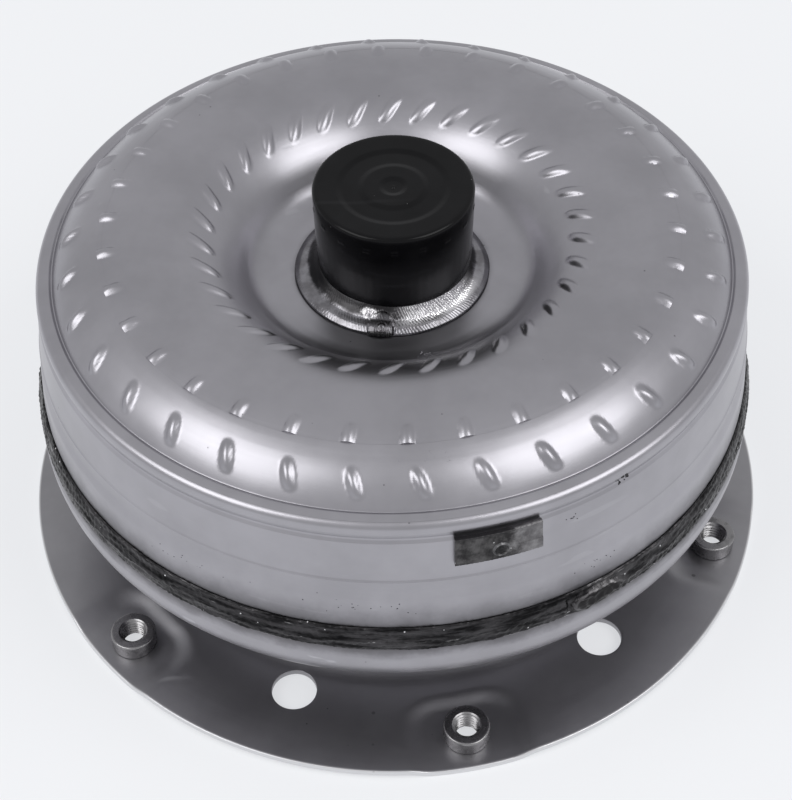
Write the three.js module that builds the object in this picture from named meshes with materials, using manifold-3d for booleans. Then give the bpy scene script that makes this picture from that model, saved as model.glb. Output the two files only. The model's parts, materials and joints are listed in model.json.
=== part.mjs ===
// Torque converter with its drive plate, millimetres, +Z up.
// The origin is on the converter's axis, in the plane of the six drive pads that it stands on;
// the engine side faces down and the transmission hub points up.

import * as THREE from "three";
import { mergeVertices } from "three/addons/utils/BufferGeometryUtils.js";
import Module from "manifold-3d";

const wasm = await Module();
wasm.setup();

// ---------------------------------------------------------------- driving dimensions

// drive plate: a dished steel disc with six pressed pads
const PLATE_R = 147.5;
const PLATE_T = 2.5;
const PLATE_TOP = 4.2;
const PLATE_DISH_R = 106;
const PLATE_WEB_R = 88;
const PLATE_EYE_R = 60;
const PLATE_WELD_R = 56;
const PAD_COUNT = 6;
const PAD_FIRST_DEG = -139.5;
const PAD_DROP = 1.7;
const PAD_INNER_R = 121.5;
const PAD_STEP = 4;
const PAD_HALF_DEG = 6.5;
const PAD_FADE_DEG = 5;
const BOLT_CIRCLE_R = 133.4;
const WINDOW_CIRCLE_R = 118.2;
const WINDOW_R = 8.4;

// threaded bosses on the pads
const BOSS_R = 8.6;
const BOSS_TOP = 9.2;
const BOSS_SPIGOT_R = 6.2;
const BOSS_BORE_R = 4.6;

// front cover, the engine-side half of the housing
const COVER_R = 137.4;
const COVER_RIM_TOP = 66;
const COVER_CORNER_R = 20;
const COVER_CORNER_Z = 59;
const COVER_T = 3.8;
const COVER_FACE_R = 97;
const COVER_WELL_R = 86;
const COVER_WELL_Z = 20;
const SPIGOT_R = 21.9;
const SPIGOT_END = 0.9;
const SPIGOT_CHAMFER = 1.2;
const SPIGOT_FLANGE_R = 25.9;
const SPIGOT_FLANGE_T = 2.2;
const SPIGOT_CUP_R = 12;
const SPIGOT_CUP_DEPTH = 8.2;

// impeller shell, the transmission-side half of the housing
const SHELL_T = 3.2;
const SHELL_CROWN_R = 87;
const SHELL_CROWN_Z = 138.7;
const SKIRT_R = 134.6;
const SKIRT_END = 61.5;
const VALLEY_Z = 115;
const SHELL_EYE_R = 33.4;
const SEAM_WELD_TOP = 75.6;

// balance weight welded to the shell's wall
const WEIGHT_TOP = 117.3;
const WEIGHT_BOTTOM = 105.5;
const WEIGHT_T = 1.4;
const WEIGHT_R = 133.5;
const WEIGHT_TAPER = 1.3;
const WEIGHT_DEG = -75.4;
const WEIGHT_SPAN_DEG = 13;

// impeller hub and the cap over it
const HUB_R = 25;
const HUB_BORE_R = 20.6;
const HUB_TOP = 150.5;
const HUB_FLANGE_R = 33;
const HUB_SHOULDER_R = 29.4;
const HUB_WELD_R = 36.2;
const HUB_SLOT_W = 9;
const HUB_SLOT_DEPTH = 9;
const CAP_R = 29.1;
const CAP_TOP = 155;
const CAP_LIP = 122.2;
const CAP_WALL = 2;

// blade wheels
const IMPELLER_BLADES = 34;
const TURBINE_BLADES = 29;
const STATOR_BLADES = 13;
const BLADE_T = 1;
const CORE_MIDDLE_R = 93;
const CORE_TOP_Z = 110;
const CORE_BOTTOM_Z = 104.6;
const CORE_SHEET_SHARE = 0.91;
const TURBINE_RIM_R = 124.6;
const TURBINE_RIM_Z = 107.4;
const TURBINE_T = 2;
const TURBINE_EYE_R = 46.5;
const TURBINE_EYE_Z = 85.5;

// turbine hub, damper and lock-up clutch
const TURBINE_HUB_R = 24.5;
const TURBINE_HUB_BOTTOM = 31;
const TURBINE_HUB_TOP = 87.5;
const HUB_PLATE_R = 57;
const HUB_PLATE_Z = 80.5;
const HUB_PLATE_TOP = 85.2;
const SEAL_GROOVE_Z = 43.6;
const SEAL_GROOVE_W = 2.6;
const SEAL_GROOVE_DEPTH = 1.6;
const INPUT_SPLINE_R = 14.5;
const INPUT_SPLINE_TEETH = 10;
const RIVET_COUNT = 6;
const RIVET_CIRCLE_R = 52;
const RIVET_R = 2.2;
const RIVET_HOLE_R = 2.7;
const RIVET_HEAD_R = 3.8;
const RIVET_HEAD_H = 1.6;
const SPRING_COUNT = 6;
const SPRING_CIRCLE_R = 100;
const SPRING_Z = 62;
const SPRING_R = 7;
const SPRING_SPAN_DEG = 40;
const LUG_SPAN_DEG = 18.6;
const DRIVEN_TAB_R = 91.5;
const DRIVEN_T = 2.6;
const RETAINER_INNER_R = 84;
const RETAINER_R = 111.6;
const RETAINER_T = 2;
const RETAINER_FLOOR = 50.6;
const RETAINER_TOP = 68;
const KEY_Z = 52.8;
const KEY_T = 2.4;
const PISTON_R = 121.4;
const PISTON_T = 2.4;
const PISTON_RIM_TOP = 57;
const PISTON_WELL_Z = 38;
const PISTON_HUB_R = 28.6;
const PISTON_HUB_BOTTOM = 36;
const PISTON_HUB_TOP = 50;
const LINING_INNER_R = 97.5;
const LINING_OUTER_R = 115;
const KEY_COUNT = 6;

// stator and its one-way clutch
const STATOR_HUB_R = 58;
const STATOR_HUB_BOTTOM = 92.6;
const STATOR_HUB_TOP = 106.6;
const STATOR_MIDDLE_Z = 101.5;
const STATOR_SHROUD_R = 75;
const STATOR_SHROUD_T = 2.6;
const STATOR_SHROUD_Z = 105;
const STATOR_SHROUD_H = 4.5;
const STATOR_BLADE_T = 2.6;
const STATOR_BLADE_LEAN_DEG = 28;
const CLUTCH_LOW = 94;
const CLUTCH_HIGH = 104.6;
const CAM_INNER_R = 37.6;
const SNAP_RING_R = 39.5;
const SNAP_RING_T = 1.4;
const ROLLER_COUNT = 8;
const ROLLER_R = 2.4;
const ROLLER_CIRCLE_R = 36.15;
const RACE_OUTER_R = 44.2;
const INNER_RACE_R = 33.6;
const INNER_RACE_BOTTOM = 93;
const INNER_RACE_TOP = 106;
const STATOR_SPLINE_R = 18;
const STATOR_SPLINE_TEETH = 12;

// thrust washer and needle bearings
const WASHER_INNER_R = 31;
const WASHER_R = 43;
const WASHER_BOTTOM = 88.3;
const WASHER_TOP = 92.2;
const COVER_BEARING_INNER_R = 14;
const COVER_BEARING_R = 24;
const COVER_BEARING_Z = 26.2;
const COVER_BEARING_NEEDLES = 8;
const IMPELLER_BEARING_INNER_R = 31;
const IMPELLER_BEARING_R = 43.5;
const IMPELLER_BEARING_Z = 106.8;
const IMPELLER_BEARING_NEEDLES = 10;
const BEARING_RACE_T = 0.9;
const NEEDLE_R = 1.15;
const NEEDLE_PLAY = 0.15;

// fits
const GAP = 0.3;
const FINE_GAP = 0.1;

// number of sides on round pieces
const SIDES_OUTSIDE = 40;
const SIDES_INSIDE = 30;
const SIDES_DISC = 24;
const SIDES_SMALL = 20;
const SIDES_HOLE = 12;
const SIDES_PIN = 6;
const PLATE_SIDES = 60;
const CAP_SIDES = 36;

// ---------------------------------------------------------------- materials

const steel = (color, roughness = 0.35) =>
  new THREE.MeshStandardMaterial({ color, roughness, metalness: 1 });
const plastic = (color, roughness = 0.3) =>
  new THREE.MeshStandardMaterial({ color, roughness, metalness: 0 });

const SHELL_STEEL = steel(0x9a979e, 0.32);
const COVER_STEEL = steel(0x9b99a0, 0.34);
const PLATE_STEEL = steel(0x68676a, 0.38);
const BOSS_STEEL = steel(0x8d8c90, 0.3);
const BURNT_STEEL = steel(0x3a3a3d, 0.5);
const WELD_STEEL = steel(0xa9a9ae, 0.25);
const HUB_STEEL = steel(0xb4b4b8, 0.22);
const BLADE_STEEL = steel(0x8b8b90, 0.4);
const HUB_FORGING = steel(0x77777c, 0.4);
const SPRING_STEEL = steel(0x55565c, 0.3);
const CAST_ALUMINIUM = steel(0xb9babd, 0.45);
const CAP_PLASTIC = plastic(0x101012, 0.25);
const SEAL_PLASTIC = plastic(0x3b3a36, 0.5);
const LINING_PAPER = plastic(0x6b5a41, 0.9);

// ---------------------------------------------------------------- geometry helpers

const root = new THREE.Group();

function rad(degrees) {
  return (degrees * Math.PI) / 180;
}

// The manifold-3d solid of a closed three.js geometry.
function solidOf(geometry) {
  const bare = new THREE.BufferGeometry();
  bare.setAttribute("position", geometry.getAttribute("position"));
  bare.setIndex(geometry.getIndex());
  const merged = mergeVertices(bare, 1e-4);
  const mesh = new wasm.Mesh({
    numProp: 3,
    vertProperties: merged.getAttribute("position").array,
    triVerts: new Uint32Array(merged.getIndex().array),
  });
  return new wasm.Manifold(mesh);
}

// The three.js geometry of a manifold-3d solid.
function geometryOf(solid) {
  const mesh = solid.getMesh();
  const geometry = new THREE.BufferGeometry();
  geometry.setAttribute("position", new THREE.BufferAttribute(mesh.vertProperties, 3));
  geometry.setIndex(new THREE.BufferAttribute(mesh.triVerts, 1));
  geometry.computeVertexNormals();
  return geometry;
}

function signedArea(points) {
  return points.reduce((sum, [r, z], i) => {
    const [nextR, nextZ] = points[(i + 1) % points.length];
    return sum + (r * nextZ - nextR * z) / 2;
  }, 0);
}

// A solid of revolution about Z from a closed outline of [radius, height] points.
// One side's corner points along +X when turnDeg is 0.
function revolve(outline, sides = SIDES_OUTSIDE, turnDeg = 0) {
  const points = signedArea(outline) > 0 ? outline : [...outline].reverse();
  const touchesAxis = points.some(([r]) => r === 0);
  const loop = touchesAxis ? points : [...points, points[0]];
  const profile = loop.map(([r, z]) => new THREE.Vector2(r, z));
  const geometry = new THREE.LatheGeometry(profile, sides, rad(90 + turnDeg));
  geometry.rotateX(Math.PI / 2);
  return geometry;
}

// An outline that meets the axis: the points run from the lowest on the axis to the highest.
function revolveFromAxis(points, sides = SIDES_SMALL) {
  const profile = points.map(([r, z]) => new THREE.Vector2(r, z));
  const geometry = new THREE.LatheGeometry(profile, sides, rad(90));
  geometry.rotateX(Math.PI / 2);
  return geometry;
}

// A prism along Z from bottom to top over a closed outline of [x, y] points.
function prism(outline, bottom, top) {
  const shape = new THREE.Shape(outline.map(([x, y]) => new THREE.Vector2(x, y)));
  const geometry = new THREE.ExtrudeGeometry(shape, { depth: top - bottom, bevelEnabled: false });
  geometry.translate(0, 0, bottom);
  return geometry;
}

// A flat plate of the given thickness over a [radius, height] outline, standing in the XZ plane.
function radialPlate(outline, thickness) {
  const shape = new THREE.Shape(outline.map(([r, z]) => new THREE.Vector2(r, z)));
  const geometry = new THREE.ExtrudeGeometry(shape, { depth: thickness, bevelEnabled: false });
  geometry.translate(0, 0, -thickness / 2);
  geometry.rotateX(Math.PI / 2);
  return geometry;
}

// An upright cylinder at [radius, angle] from bottom to top.
function post(radius, bottom, top, circleR = 0, angleDeg = 0, sides = SIDES_HOLE) {
  const geometry = new THREE.CylinderGeometry(radius, radius, top - bottom, sides);
  geometry.rotateX(Math.PI / 2);
  geometry.translate(circleR, 0, (top + bottom) / 2);
  geometry.rotateZ(rad(angleDeg));
  return geometry;
}

// A box of the given radial, tangential and vertical limits at an angle about Z.
function radialBox(innerR, outerR, width, bottom, top, angleDeg) {
  const geometry = new THREE.BoxGeometry(outerR - innerR, width, top - bottom);
  geometry.translate((outerR + innerR) / 2, 0, (top + bottom) / 2);
  geometry.rotateZ(rad(angleDeg));
  return geometry;
}

// A block that fills an angle between two radii, centred on angleDeg.
function sector(innerR, outerR, spanDeg, bottom, top, angleDeg, steps = 4) {
  const arc = (radius, from, to) =>
    Array.from({ length: steps + 1 }, (_, i) => {
      const angle = rad(from + ((to - from) * i) / steps);
      return [radius * Math.cos(angle), radius * Math.sin(angle)];
    });
  const from = angleDeg - spanDeg / 2;
  const to = angleDeg + spanDeg / 2;
  return prism([...arc(outerR, from, to), ...arc(innerR, to, from)], bottom, top);
}

// A tube or bar bent along part of a circle about Z, with straight ends.
function arcBar(radius, circleR, height, spanDeg, angleDeg, sides, steps) {
  const points = Array.from({ length: steps + 1 }, (_, i) => {
    const angle = rad(angleDeg - spanDeg / 2 + (spanDeg * i) / steps);
    return new THREE.Vector3(circleR * Math.cos(angle), circleR * Math.sin(angle), height);
  });
  const path = new THREE.CatmullRomCurve3(points);
  const corner = (i) => [
    radius * Math.cos((2 * Math.PI * i) / sides),
    radius * Math.sin((2 * Math.PI * i) / sides),
  ];
  const section = new THREE.Shape(
    Array.from({ length: sides }, (_, i) => new THREE.Vector2(...corner(i))),
  );
  return new THREE.ExtrudeGeometry(section, { steps, extrudePath: path, bevelEnabled: false });
}

function join(base, geometries) {
  return geometryOf(geometries.reduce((solid, g) => solid.add(solidOf(g)), solidOf(base)));
}

function cut(base, geometries) {
  return geometryOf(geometries.reduce((solid, g) => solid.subtract(solidOf(g)), solidOf(base)));
}

// The geometries that make(angleDeg, index) gives at equal steps round the axis.
function around(count, firstDeg, make) {
  return Array.from({ length: count }, (_, i) => make(firstDeg + (360 * i) / count, i));
}

// Points on an arc of a [radius, height] outline; 0 degrees points outwards, 90 points up.
function arcPoints(centreR, centreZ, radius, fromDeg, toDeg, steps) {
  return Array.from({ length: steps + 1 }, (_, i) => {
    const angle = rad(fromDeg + ((toDeg - fromDeg) * i) / steps);
    return [centreR + radius * Math.cos(angle), centreZ + radius * Math.sin(angle)];
  });
}

function add(name, geometry, material) {
  const mesh = new THREE.Mesh(geometry, material);
  mesh.name = name;
  root.add(mesh);
}

// The outline of a splined bore: teeth stand in from the root radius.
function splineOutline(rootR, toothH, teeth) {
  const steps = [
    [0, rootR],
    [0.45, rootR],
    [0.55, rootR - toothH],
    [0.9, rootR - toothH],
  ];
  return around(teeth, 0, (angleDeg) => angleDeg).flatMap((angleDeg) =>
    steps.map(([share, radius]) => {
      const angle = rad(angleDeg + (share * 360) / teeth);
      return [radius * Math.cos(angle), radius * Math.sin(angle)];
    }),
  );
}

// ---------------------------------------------------------------- drive plate

function smoothStep(value) {
  const t = Math.min(1, Math.max(0, value));
  return t * t * (3 - 2 * t);
}

// How far the pads drop the plate at a point, from 0 to PAD_DROP.
function padDrop(x, y) {
  const radius = Math.hypot(x, y);
  const pitch = 360 / PAD_COUNT;
  const turn = THREE.MathUtils.radToDeg(Math.atan2(y, x)) - PAD_FIRST_DEG;
  const off = Math.abs(turn - pitch * Math.round(turn / pitch));
  const inward = smoothStep((radius - (PAD_INNER_R - PAD_STEP)) / PAD_STEP);
  const sideways = 1 - smoothStep((off - PAD_HALF_DEG) / PAD_FADE_DEG);
  return PAD_DROP * inward * sideways;
}

function makeDrivePlate() {
  const under = PLATE_TOP - PLATE_T;
  const webTop = COVER_WELL_Z - GAP;
  const outline = [
    [PLATE_EYE_R, webTop - PLATE_T],
    [PLATE_WEB_R - 1, webTop - PLATE_T],
    [PLATE_DISH_R, under],
    [PAD_INNER_R - PAD_STEP, under],
    [PAD_INNER_R, under],
    [PLATE_R, under],
    [PLATE_R, PLATE_TOP],
    [PAD_INNER_R, PLATE_TOP],
    [PAD_INNER_R - PAD_STEP, PLATE_TOP],
    [PLATE_DISH_R + 1, PLATE_TOP],
    [PLATE_WEB_R, webTop],
    [PLATE_EYE_R, webTop],
  ];
  const disc = revolve(outline, PLATE_SIDES, PAD_FIRST_DEG);
  const position = disc.getAttribute("position");
  for (let i = 0; i < position.count; i += 1) {
    position.setZ(i, position.getZ(i) - padDrop(position.getX(i), position.getY(i)));
  }
  const pitch = 360 / PAD_COUNT;
  const drill = (radius, circleR, angleDeg) => post(radius, -PLATE_T, BOSS_TOP, circleR, angleDeg);
  const bossHole = (angleDeg) => drill(BOSS_SPIGOT_R + GAP, BOLT_CIRCLE_R, angleDeg);
  const window = (angleDeg) => drill(WINDOW_R, WINDOW_CIRCLE_R, angleDeg + pitch / 2);
  const holes = [
    ...around(PAD_COUNT, PAD_FIRST_DEG, bossHole),
    ...around(PAD_COUNT, PAD_FIRST_DEG, window),
  ];
  add("drive_plate", cut(disc, holes), PLATE_STEEL);
}

function makeBosses() {
  const padTop = PLATE_TOP - PAD_DROP;
  const spigotEnd = padTop - PLATE_T + GAP;
  const outline = [
    [BOSS_BORE_R, spigotEnd],
    [BOSS_SPIGOT_R, spigotEnd],
    [BOSS_SPIGOT_R, padTop + FINE_GAP],
    [BOSS_R, padTop + FINE_GAP],
    [BOSS_R, BOSS_TOP],
    [BOSS_BORE_R, BOSS_TOP],
  ];
  around(PAD_COUNT, PAD_FIRST_DEG, (angleDeg, i) => {
    const boss = revolve(outline, SIDES_HOLE + 2);
    boss.translate(BOLT_CIRCLE_R, 0, 0);
    boss.rotateZ(rad(angleDeg));
    add(`drive_boss_${i + 1}`, boss, BOSS_STEEL);
  });
}

function makePlateWeld() {
  const top = COVER_WELL_Z - GAP;
  const outline = [
    [PLATE_WELD_R, top],
    [PLATE_WELD_R + 1, top - 1.4],
    [PLATE_EYE_R - GAP, top - PLATE_T],
    [PLATE_EYE_R - GAP, top],
  ];
  add("drive_plate_weld", revolve(outline, SIDES_INSIDE), BURNT_STEEL);
}

// ---------------------------------------------------------------- housing

function makeFrontCover() {
  const cornerR = COVER_R - COVER_CORNER_R;
  const faceZ = COVER_CORNER_Z - COVER_CORNER_R;
  const innerFaceZ = faceZ + COVER_T;
  const outline = [
    [SPIGOT_R + FINE_GAP, COVER_WELL_Z],
    [COVER_WELL_R, COVER_WELL_Z],
    [COVER_FACE_R, faceZ],
    ...arcPoints(cornerR, COVER_CORNER_Z, COVER_CORNER_R, -90, 0, 3),
    [COVER_R - 0.2, COVER_RIM_TOP],
    [SKIRT_R + GAP, COVER_RIM_TOP],
    [SKIRT_R + GAP, SKIRT_END - GAP],
    [COVER_R - COVER_T, SKIRT_END - GAP],
    ...arcPoints(cornerR, COVER_CORNER_Z, COVER_CORNER_R - COVER_T, 0, -90, 2),
    [COVER_FACE_R - 2.2, innerFaceZ],
    [COVER_WELL_R - 2.2, COVER_WELL_Z + COVER_T],
    [SPIGOT_R + FINE_GAP, COVER_WELL_Z + COVER_T],
  ];
  add("front_cover", revolve(outline), COVER_STEEL);
}

function makePilotSpigot() {
  const flangeZ = COVER_WELL_Z + COVER_T + FINE_GAP;
  const outline = [
    [0, SPIGOT_END],
    [SPIGOT_R - SPIGOT_CHAMFER, SPIGOT_END],
    [SPIGOT_R, SPIGOT_END + SPIGOT_CHAMFER],
    [SPIGOT_R, flangeZ],
    [SPIGOT_FLANGE_R, flangeZ],
    [SPIGOT_FLANGE_R, flangeZ + SPIGOT_FLANGE_T],
    [SPIGOT_CUP_R, flangeZ + SPIGOT_FLANGE_T],
    [SPIGOT_CUP_R - 1.5, flangeZ + SPIGOT_FLANGE_T - SPIGOT_CUP_DEPTH],
    [0, flangeZ + SPIGOT_FLANGE_T - SPIGOT_CUP_DEPTH],
  ];
  add("pilot_spigot", revolveFromAxis(outline, SIDES_INSIDE), HUB_FORGING);
}

function makeSeamWeld() {
  const toe = SKIRT_R + GAP;
  const outline = [
    [toe, COVER_RIM_TOP + GAP],
    [COVER_R - 0.1, COVER_RIM_TOP + GAP],
    [COVER_R - 0.8, COVER_RIM_TOP + 5.5],
    [toe, SEAM_WELD_TOP],
  ];
  add("seam_weld", revolve(outline), BURNT_STEEL);
}

// The outer face of the impeller shell, from the hub out to the end of its skirt.
const shellOutside = [
  [SHELL_EYE_R, VALLEY_Z],
  [45.6, VALLEY_Z],
  [49.7, VALLEY_Z + 1],
  [53.5, VALLEY_Z + 4.4],
  [61.4, 128.8],
  [73.9, 136.2],
  [SHELL_CROWN_R, SHELL_CROWN_Z],
  [103.9, 136.8],
  [115, 132.2],
  [124.3, 124.6],
  [129, 123.4],
  [130.2, 120],
  [SKIRT_R, 77],
  [SKIRT_R, SKIRT_END],
];

// The inner face, from the end of the skirt back to the hub.
const shellInside = [
  [SKIRT_R - SHELL_T, SKIRT_END],
  [SKIRT_R - SHELL_T, 77.5],
  [127, 118.5],
  [121.3, 122.2],
  [113, 129.6],
  [102.8, 133.8],
  [SHELL_CROWN_R, SHELL_CROWN_Z - SHELL_T],
  [75, 133.2],
  [63.6, 126.4],
  [56.2, 117.6],
  [51.1, VALLEY_Z - SHELL_T + 1.4],
  [45.6, VALLEY_Z - SHELL_T],
  [SHELL_EYE_R, VALLEY_Z - SHELL_T],
];

function makeImpellerShell() {
  add("impeller_shell", revolve([...shellOutside, ...shellInside]), SHELL_STEEL);
}

function makeImpellerHub() {
  const bottom = VALLEY_Z - SHELL_T;
  const outline = [
    [HUB_BORE_R, bottom],
    [HUB_FLANGE_R, bottom],
    [HUB_FLANGE_R, VALLEY_Z],
    [HUB_SHOULDER_R, VALLEY_Z + 0.5],
    [HUB_R, VALLEY_Z + 5.5],
    [HUB_R, HUB_TOP],
    [HUB_BORE_R, HUB_TOP],
  ];
  const slot = (angleDeg) =>
    radialBox(HUB_BORE_R - 3, HUB_R + 3, HUB_SLOT_W, HUB_TOP - HUB_SLOT_DEPTH, HUB_TOP + 5, angleDeg);
  add("impeller_hub", cut(revolve(outline, SIDES_INSIDE), around(2, 30, slot)), HUB_STEEL);
}

function makeHubWeld() {
  const floor = VALLEY_Z + GAP;
  const outline = [
    [HUB_WELD_R - 5, floor + 0.6],
    [HUB_WELD_R - 3, floor],
    [HUB_WELD_R, floor],
    [HUB_WELD_R - 1.2, floor + 1.8],
    [HUB_WELD_R - 5, floor + 3.2],
  ];
  add("hub_weld", revolve(outline, SIDES_INSIDE), WELD_STEEL);
}

function makeBalanceWeight() {
  const topR = WEIGHT_R - WEIGHT_TAPER;
  const ring = revolve(
    [
      [topR - WEIGHT_T, WEIGHT_TOP],
      [topR, WEIGHT_TOP],
      [WEIGHT_R, WEIGHT_BOTTOM],
      [WEIGHT_R - WEIGHT_T, WEIGHT_BOTTOM],
    ],
    PLATE_SIDES,
  );
  const wedge = sector(120, 145, WEIGHT_SPAN_DEG, WEIGHT_BOTTOM - 5, WEIGHT_TOP + 5, WEIGHT_DEG);
  add("balance_weight", geometryOf(solidOf(ring).intersect(solidOf(wedge))), BURNT_STEEL);
}

function makeHubCap() {
  const outline = [
    [CAP_R - CAP_WALL, CAP_LIP],
    [CAP_R - 0.2, CAP_LIP],
    [CAP_R, CAP_TOP - 3],
    [CAP_R - 0.8, CAP_TOP],
    [0, CAP_TOP],
    [0, CAP_TOP - CAP_WALL],
    [CAP_R - CAP_WALL, CAP_TOP - CAP_WALL],
  ];
  const points = [...outline.slice(5), ...outline.slice(0, 5)];
  add("hub_cap", revolveFromAxis(points, CAP_SIDES), CAP_PLASTIC);
}

// ---------------------------------------------------------------- impeller and turbine blades

// One side of the hollow core ring, as [radius, height above the ring's open edge].
const coreOutside = [
  [79, 0],
  [CORE_MIDDLE_R, 13],
  [107, 0],
];

// The core ring's outline, shrunk about the middle of its open side by share.
function coreOutline(openZ, side, share) {
  return coreOutside.map(([r, h]) => [
    CORE_MIDDLE_R + (r - CORE_MIDDLE_R) * share,
    openZ + side * h * share,
  ]);
}

function coreRing(openZ, side) {
  const inside = coreOutline(openZ, side, CORE_SHEET_SHARE);
  return revolve([...coreOutline(openZ, side, 1), ...inside.reverse()], SIDES_INSIDE);
}

// A blade that reaches from the core ring to the shell; rim is its edge along the shell.
function bladeOutline(rim, openZ, side) {
  const inCore = coreOutline(openZ + side * 0.2, side, (1 + CORE_SHEET_SHARE) / 2);
  return [...rim, ...inCore.reverse()];
}

function makeImpellerBlades() {
  const rim = [
    [66.6, 116.5],
    [71.4, 128.5],
    [87, 134.7],
    [106.5, 131.2],
    [120.6, 120.4],
    [122.6, 110.2],
  ];
  const outline = bladeOutline(rim, CORE_TOP_Z, 1);
  const blade = (angleDeg) => radialPlate(outline, BLADE_T).rotateZ(rad(angleDeg));
  const ring = join(coreRing(CORE_TOP_Z, 1), around(IMPELLER_BLADES, 0, blade));
  add("impeller_blades", ring, BLADE_STEEL);
}

function makeTurbineShell() {
  const outline = [
    [TURBINE_RIM_R, TURBINE_RIM_Z],
    [121.6, 92.6],
    [106, 82],
    [91, 79.8],
    [77, 82],
    [69.5, TURBINE_EYE_Z],
    [TURBINE_EYE_R, TURBINE_EYE_Z],
    [TURBINE_EYE_R, TURBINE_EYE_Z + TURBINE_T],
    [70, TURBINE_EYE_Z + TURBINE_T],
    [77.6, 84.1],
    [91, 81.9],
    [105.2, 84.1],
    [119.6, 93.7],
    [TURBINE_RIM_R - TURBINE_T, TURBINE_RIM_Z],
  ];
  const hole = (angleDeg) =>
    post(RIVET_HOLE_R, TURBINE_EYE_Z - 5, TURBINE_EYE_Z + 7, RIVET_CIRCLE_R, angleDeg, SIDES_PIN);
  const shell = cut(revolve(outline, SIDES_DISC), around(RIVET_COUNT, 0, hole));
  add("turbine_shell", shell, BLADE_STEEL);
}

function makeTurbineBlades() {
  const rim = [
    [71, 88.3],
    [78, 85],
    [91, 82.8],
    [104.4, 85],
    [117.4, 93.5],
    [120.8, 104.2],
  ];
  const outline = bladeOutline(rim, CORE_BOTTOM_Z, -1);
  const blade = (angleDeg) => radialPlate(outline, BLADE_T).rotateZ(rad(angleDeg));
  const ring = join(coreRing(CORE_BOTTOM_Z, -1), around(TURBINE_BLADES, 0, blade));
  add("turbine_blades", ring, BLADE_STEEL);
}

// ---------------------------------------------------------------- turbine hub

function makeTurbineHub() {
  const outline = [
    [INPUT_SPLINE_R - 3, TURBINE_HUB_BOTTOM],
    [TURBINE_HUB_R, TURBINE_HUB_BOTTOM],
    [TURBINE_HUB_R, SEAL_GROOVE_Z],
    [TURBINE_HUB_R - SEAL_GROOVE_DEPTH, SEAL_GROOVE_Z],
    [TURBINE_HUB_R - SEAL_GROOVE_DEPTH, SEAL_GROOVE_Z + SEAL_GROOVE_W],
    [TURBINE_HUB_R, SEAL_GROOVE_Z + SEAL_GROOVE_W],
    [TURBINE_HUB_R, HUB_PLATE_Z],
    [HUB_PLATE_R, HUB_PLATE_Z],
    [HUB_PLATE_R, HUB_PLATE_TOP],
    [TURBINE_EYE_R - GAP, HUB_PLATE_TOP],
    [TURBINE_EYE_R - GAP, TURBINE_HUB_TOP],
    [INPUT_SPLINE_R - 3, TURBINE_HUB_TOP],
  ];
  const body = revolve(outline, SIDES_DISC);
  const teeth = splineOutline(INPUT_SPLINE_R, 1.2, INPUT_SPLINE_TEETH);
  const bore = prism(teeth, TURBINE_HUB_BOTTOM - 11, TURBINE_HUB_TOP + 12.5);
  const hole = (angleDeg) => post(RIVET_HOLE_R, 70, 95, RIVET_CIRCLE_R, angleDeg, SIDES_PIN);
  add("turbine_hub", cut(body, [bore, ...around(RIVET_COUNT, 0, hole)]), HUB_FORGING);
}

function makePistonSeal() {
  const innerR = TURBINE_HUB_R - SEAL_GROOVE_DEPTH + GAP;
  const bottom = SEAL_GROOVE_Z + GAP;
  const top = SEAL_GROOVE_Z + SEAL_GROOVE_W - GAP;
  const outline = [
    [innerR, bottom],
    [TURBINE_HUB_R + 0.6, bottom],
    [TURBINE_HUB_R + 0.6, top],
    [innerR, top],
  ];
  add("piston_seal_ring", revolve(outline, SIDES_SMALL), SEAL_PLASTIC);
}

function makeDrivenPlate() {
  const top = HUB_PLATE_Z - FINE_GAP;
  const tabZ = SPRING_Z - DRIVEN_T / 2;
  const outline = [
    [TURBINE_HUB_R + GAP, top - DRIVEN_T - 0.1],
    [61, top - DRIVEN_T - 0.1],
    [79, tabZ],
    [DRIVEN_TAB_R, tabZ],
    [DRIVEN_TAB_R, tabZ + DRIVEN_T],
    [80.5, tabZ + DRIVEN_T],
    [62.5, top],
    [TURBINE_HUB_R + GAP, top],
  ];
  const disc = revolve(outline, SIDES_DISC);
  const tab = (angleDeg) => sector(89, 108, LUG_SPAN_DEG, tabZ, tabZ + DRIVEN_T, angleDeg, 2);
  const hole = (angleDeg) => post(RIVET_HOLE_R, 70, 90, RIVET_CIRCLE_R, angleDeg, SIDES_PIN);
  const tabs = around(SPRING_COUNT, 0, tab);
  const plate = tabs.reduce((solid, g) => solid.add(solidOf(g)), solidOf(disc));
  const holes = around(RIVET_COUNT, 0, hole);
  const drilled = holes.reduce((solid, g) => solid.subtract(solidOf(g)), plate);
  add("damper_driven_plate", geometryOf(drilled), BLADE_STEEL);
}

function makeRivets() {
  const low = HUB_PLATE_Z - 3.1;
  const high = TURBINE_HUB_TOP + GAP;
  const outline = [
    [0, low - RIVET_HEAD_H],
    [RIVET_HEAD_R, low - RIVET_HEAD_H],
    [RIVET_HEAD_R, low],
    [RIVET_R, low],
    [RIVET_R, high],
    [RIVET_HEAD_R, high],
    [RIVET_HEAD_R, high + RIVET_HEAD_H],
    [0, high + RIVET_HEAD_H],
  ];
  around(RIVET_COUNT, 0, (angleDeg, i) => {
    const rivet = revolveFromAxis(outline, SIDES_PIN);
    rivet.translate(RIVET_CIRCLE_R, 0, 0);
    rivet.rotateZ(rad(angleDeg));
    add(`turbine_rivet_${i + 1}`, rivet, HUB_FORGING);
  });
}

// ---------------------------------------------------------------- damper and lock-up piston

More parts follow.
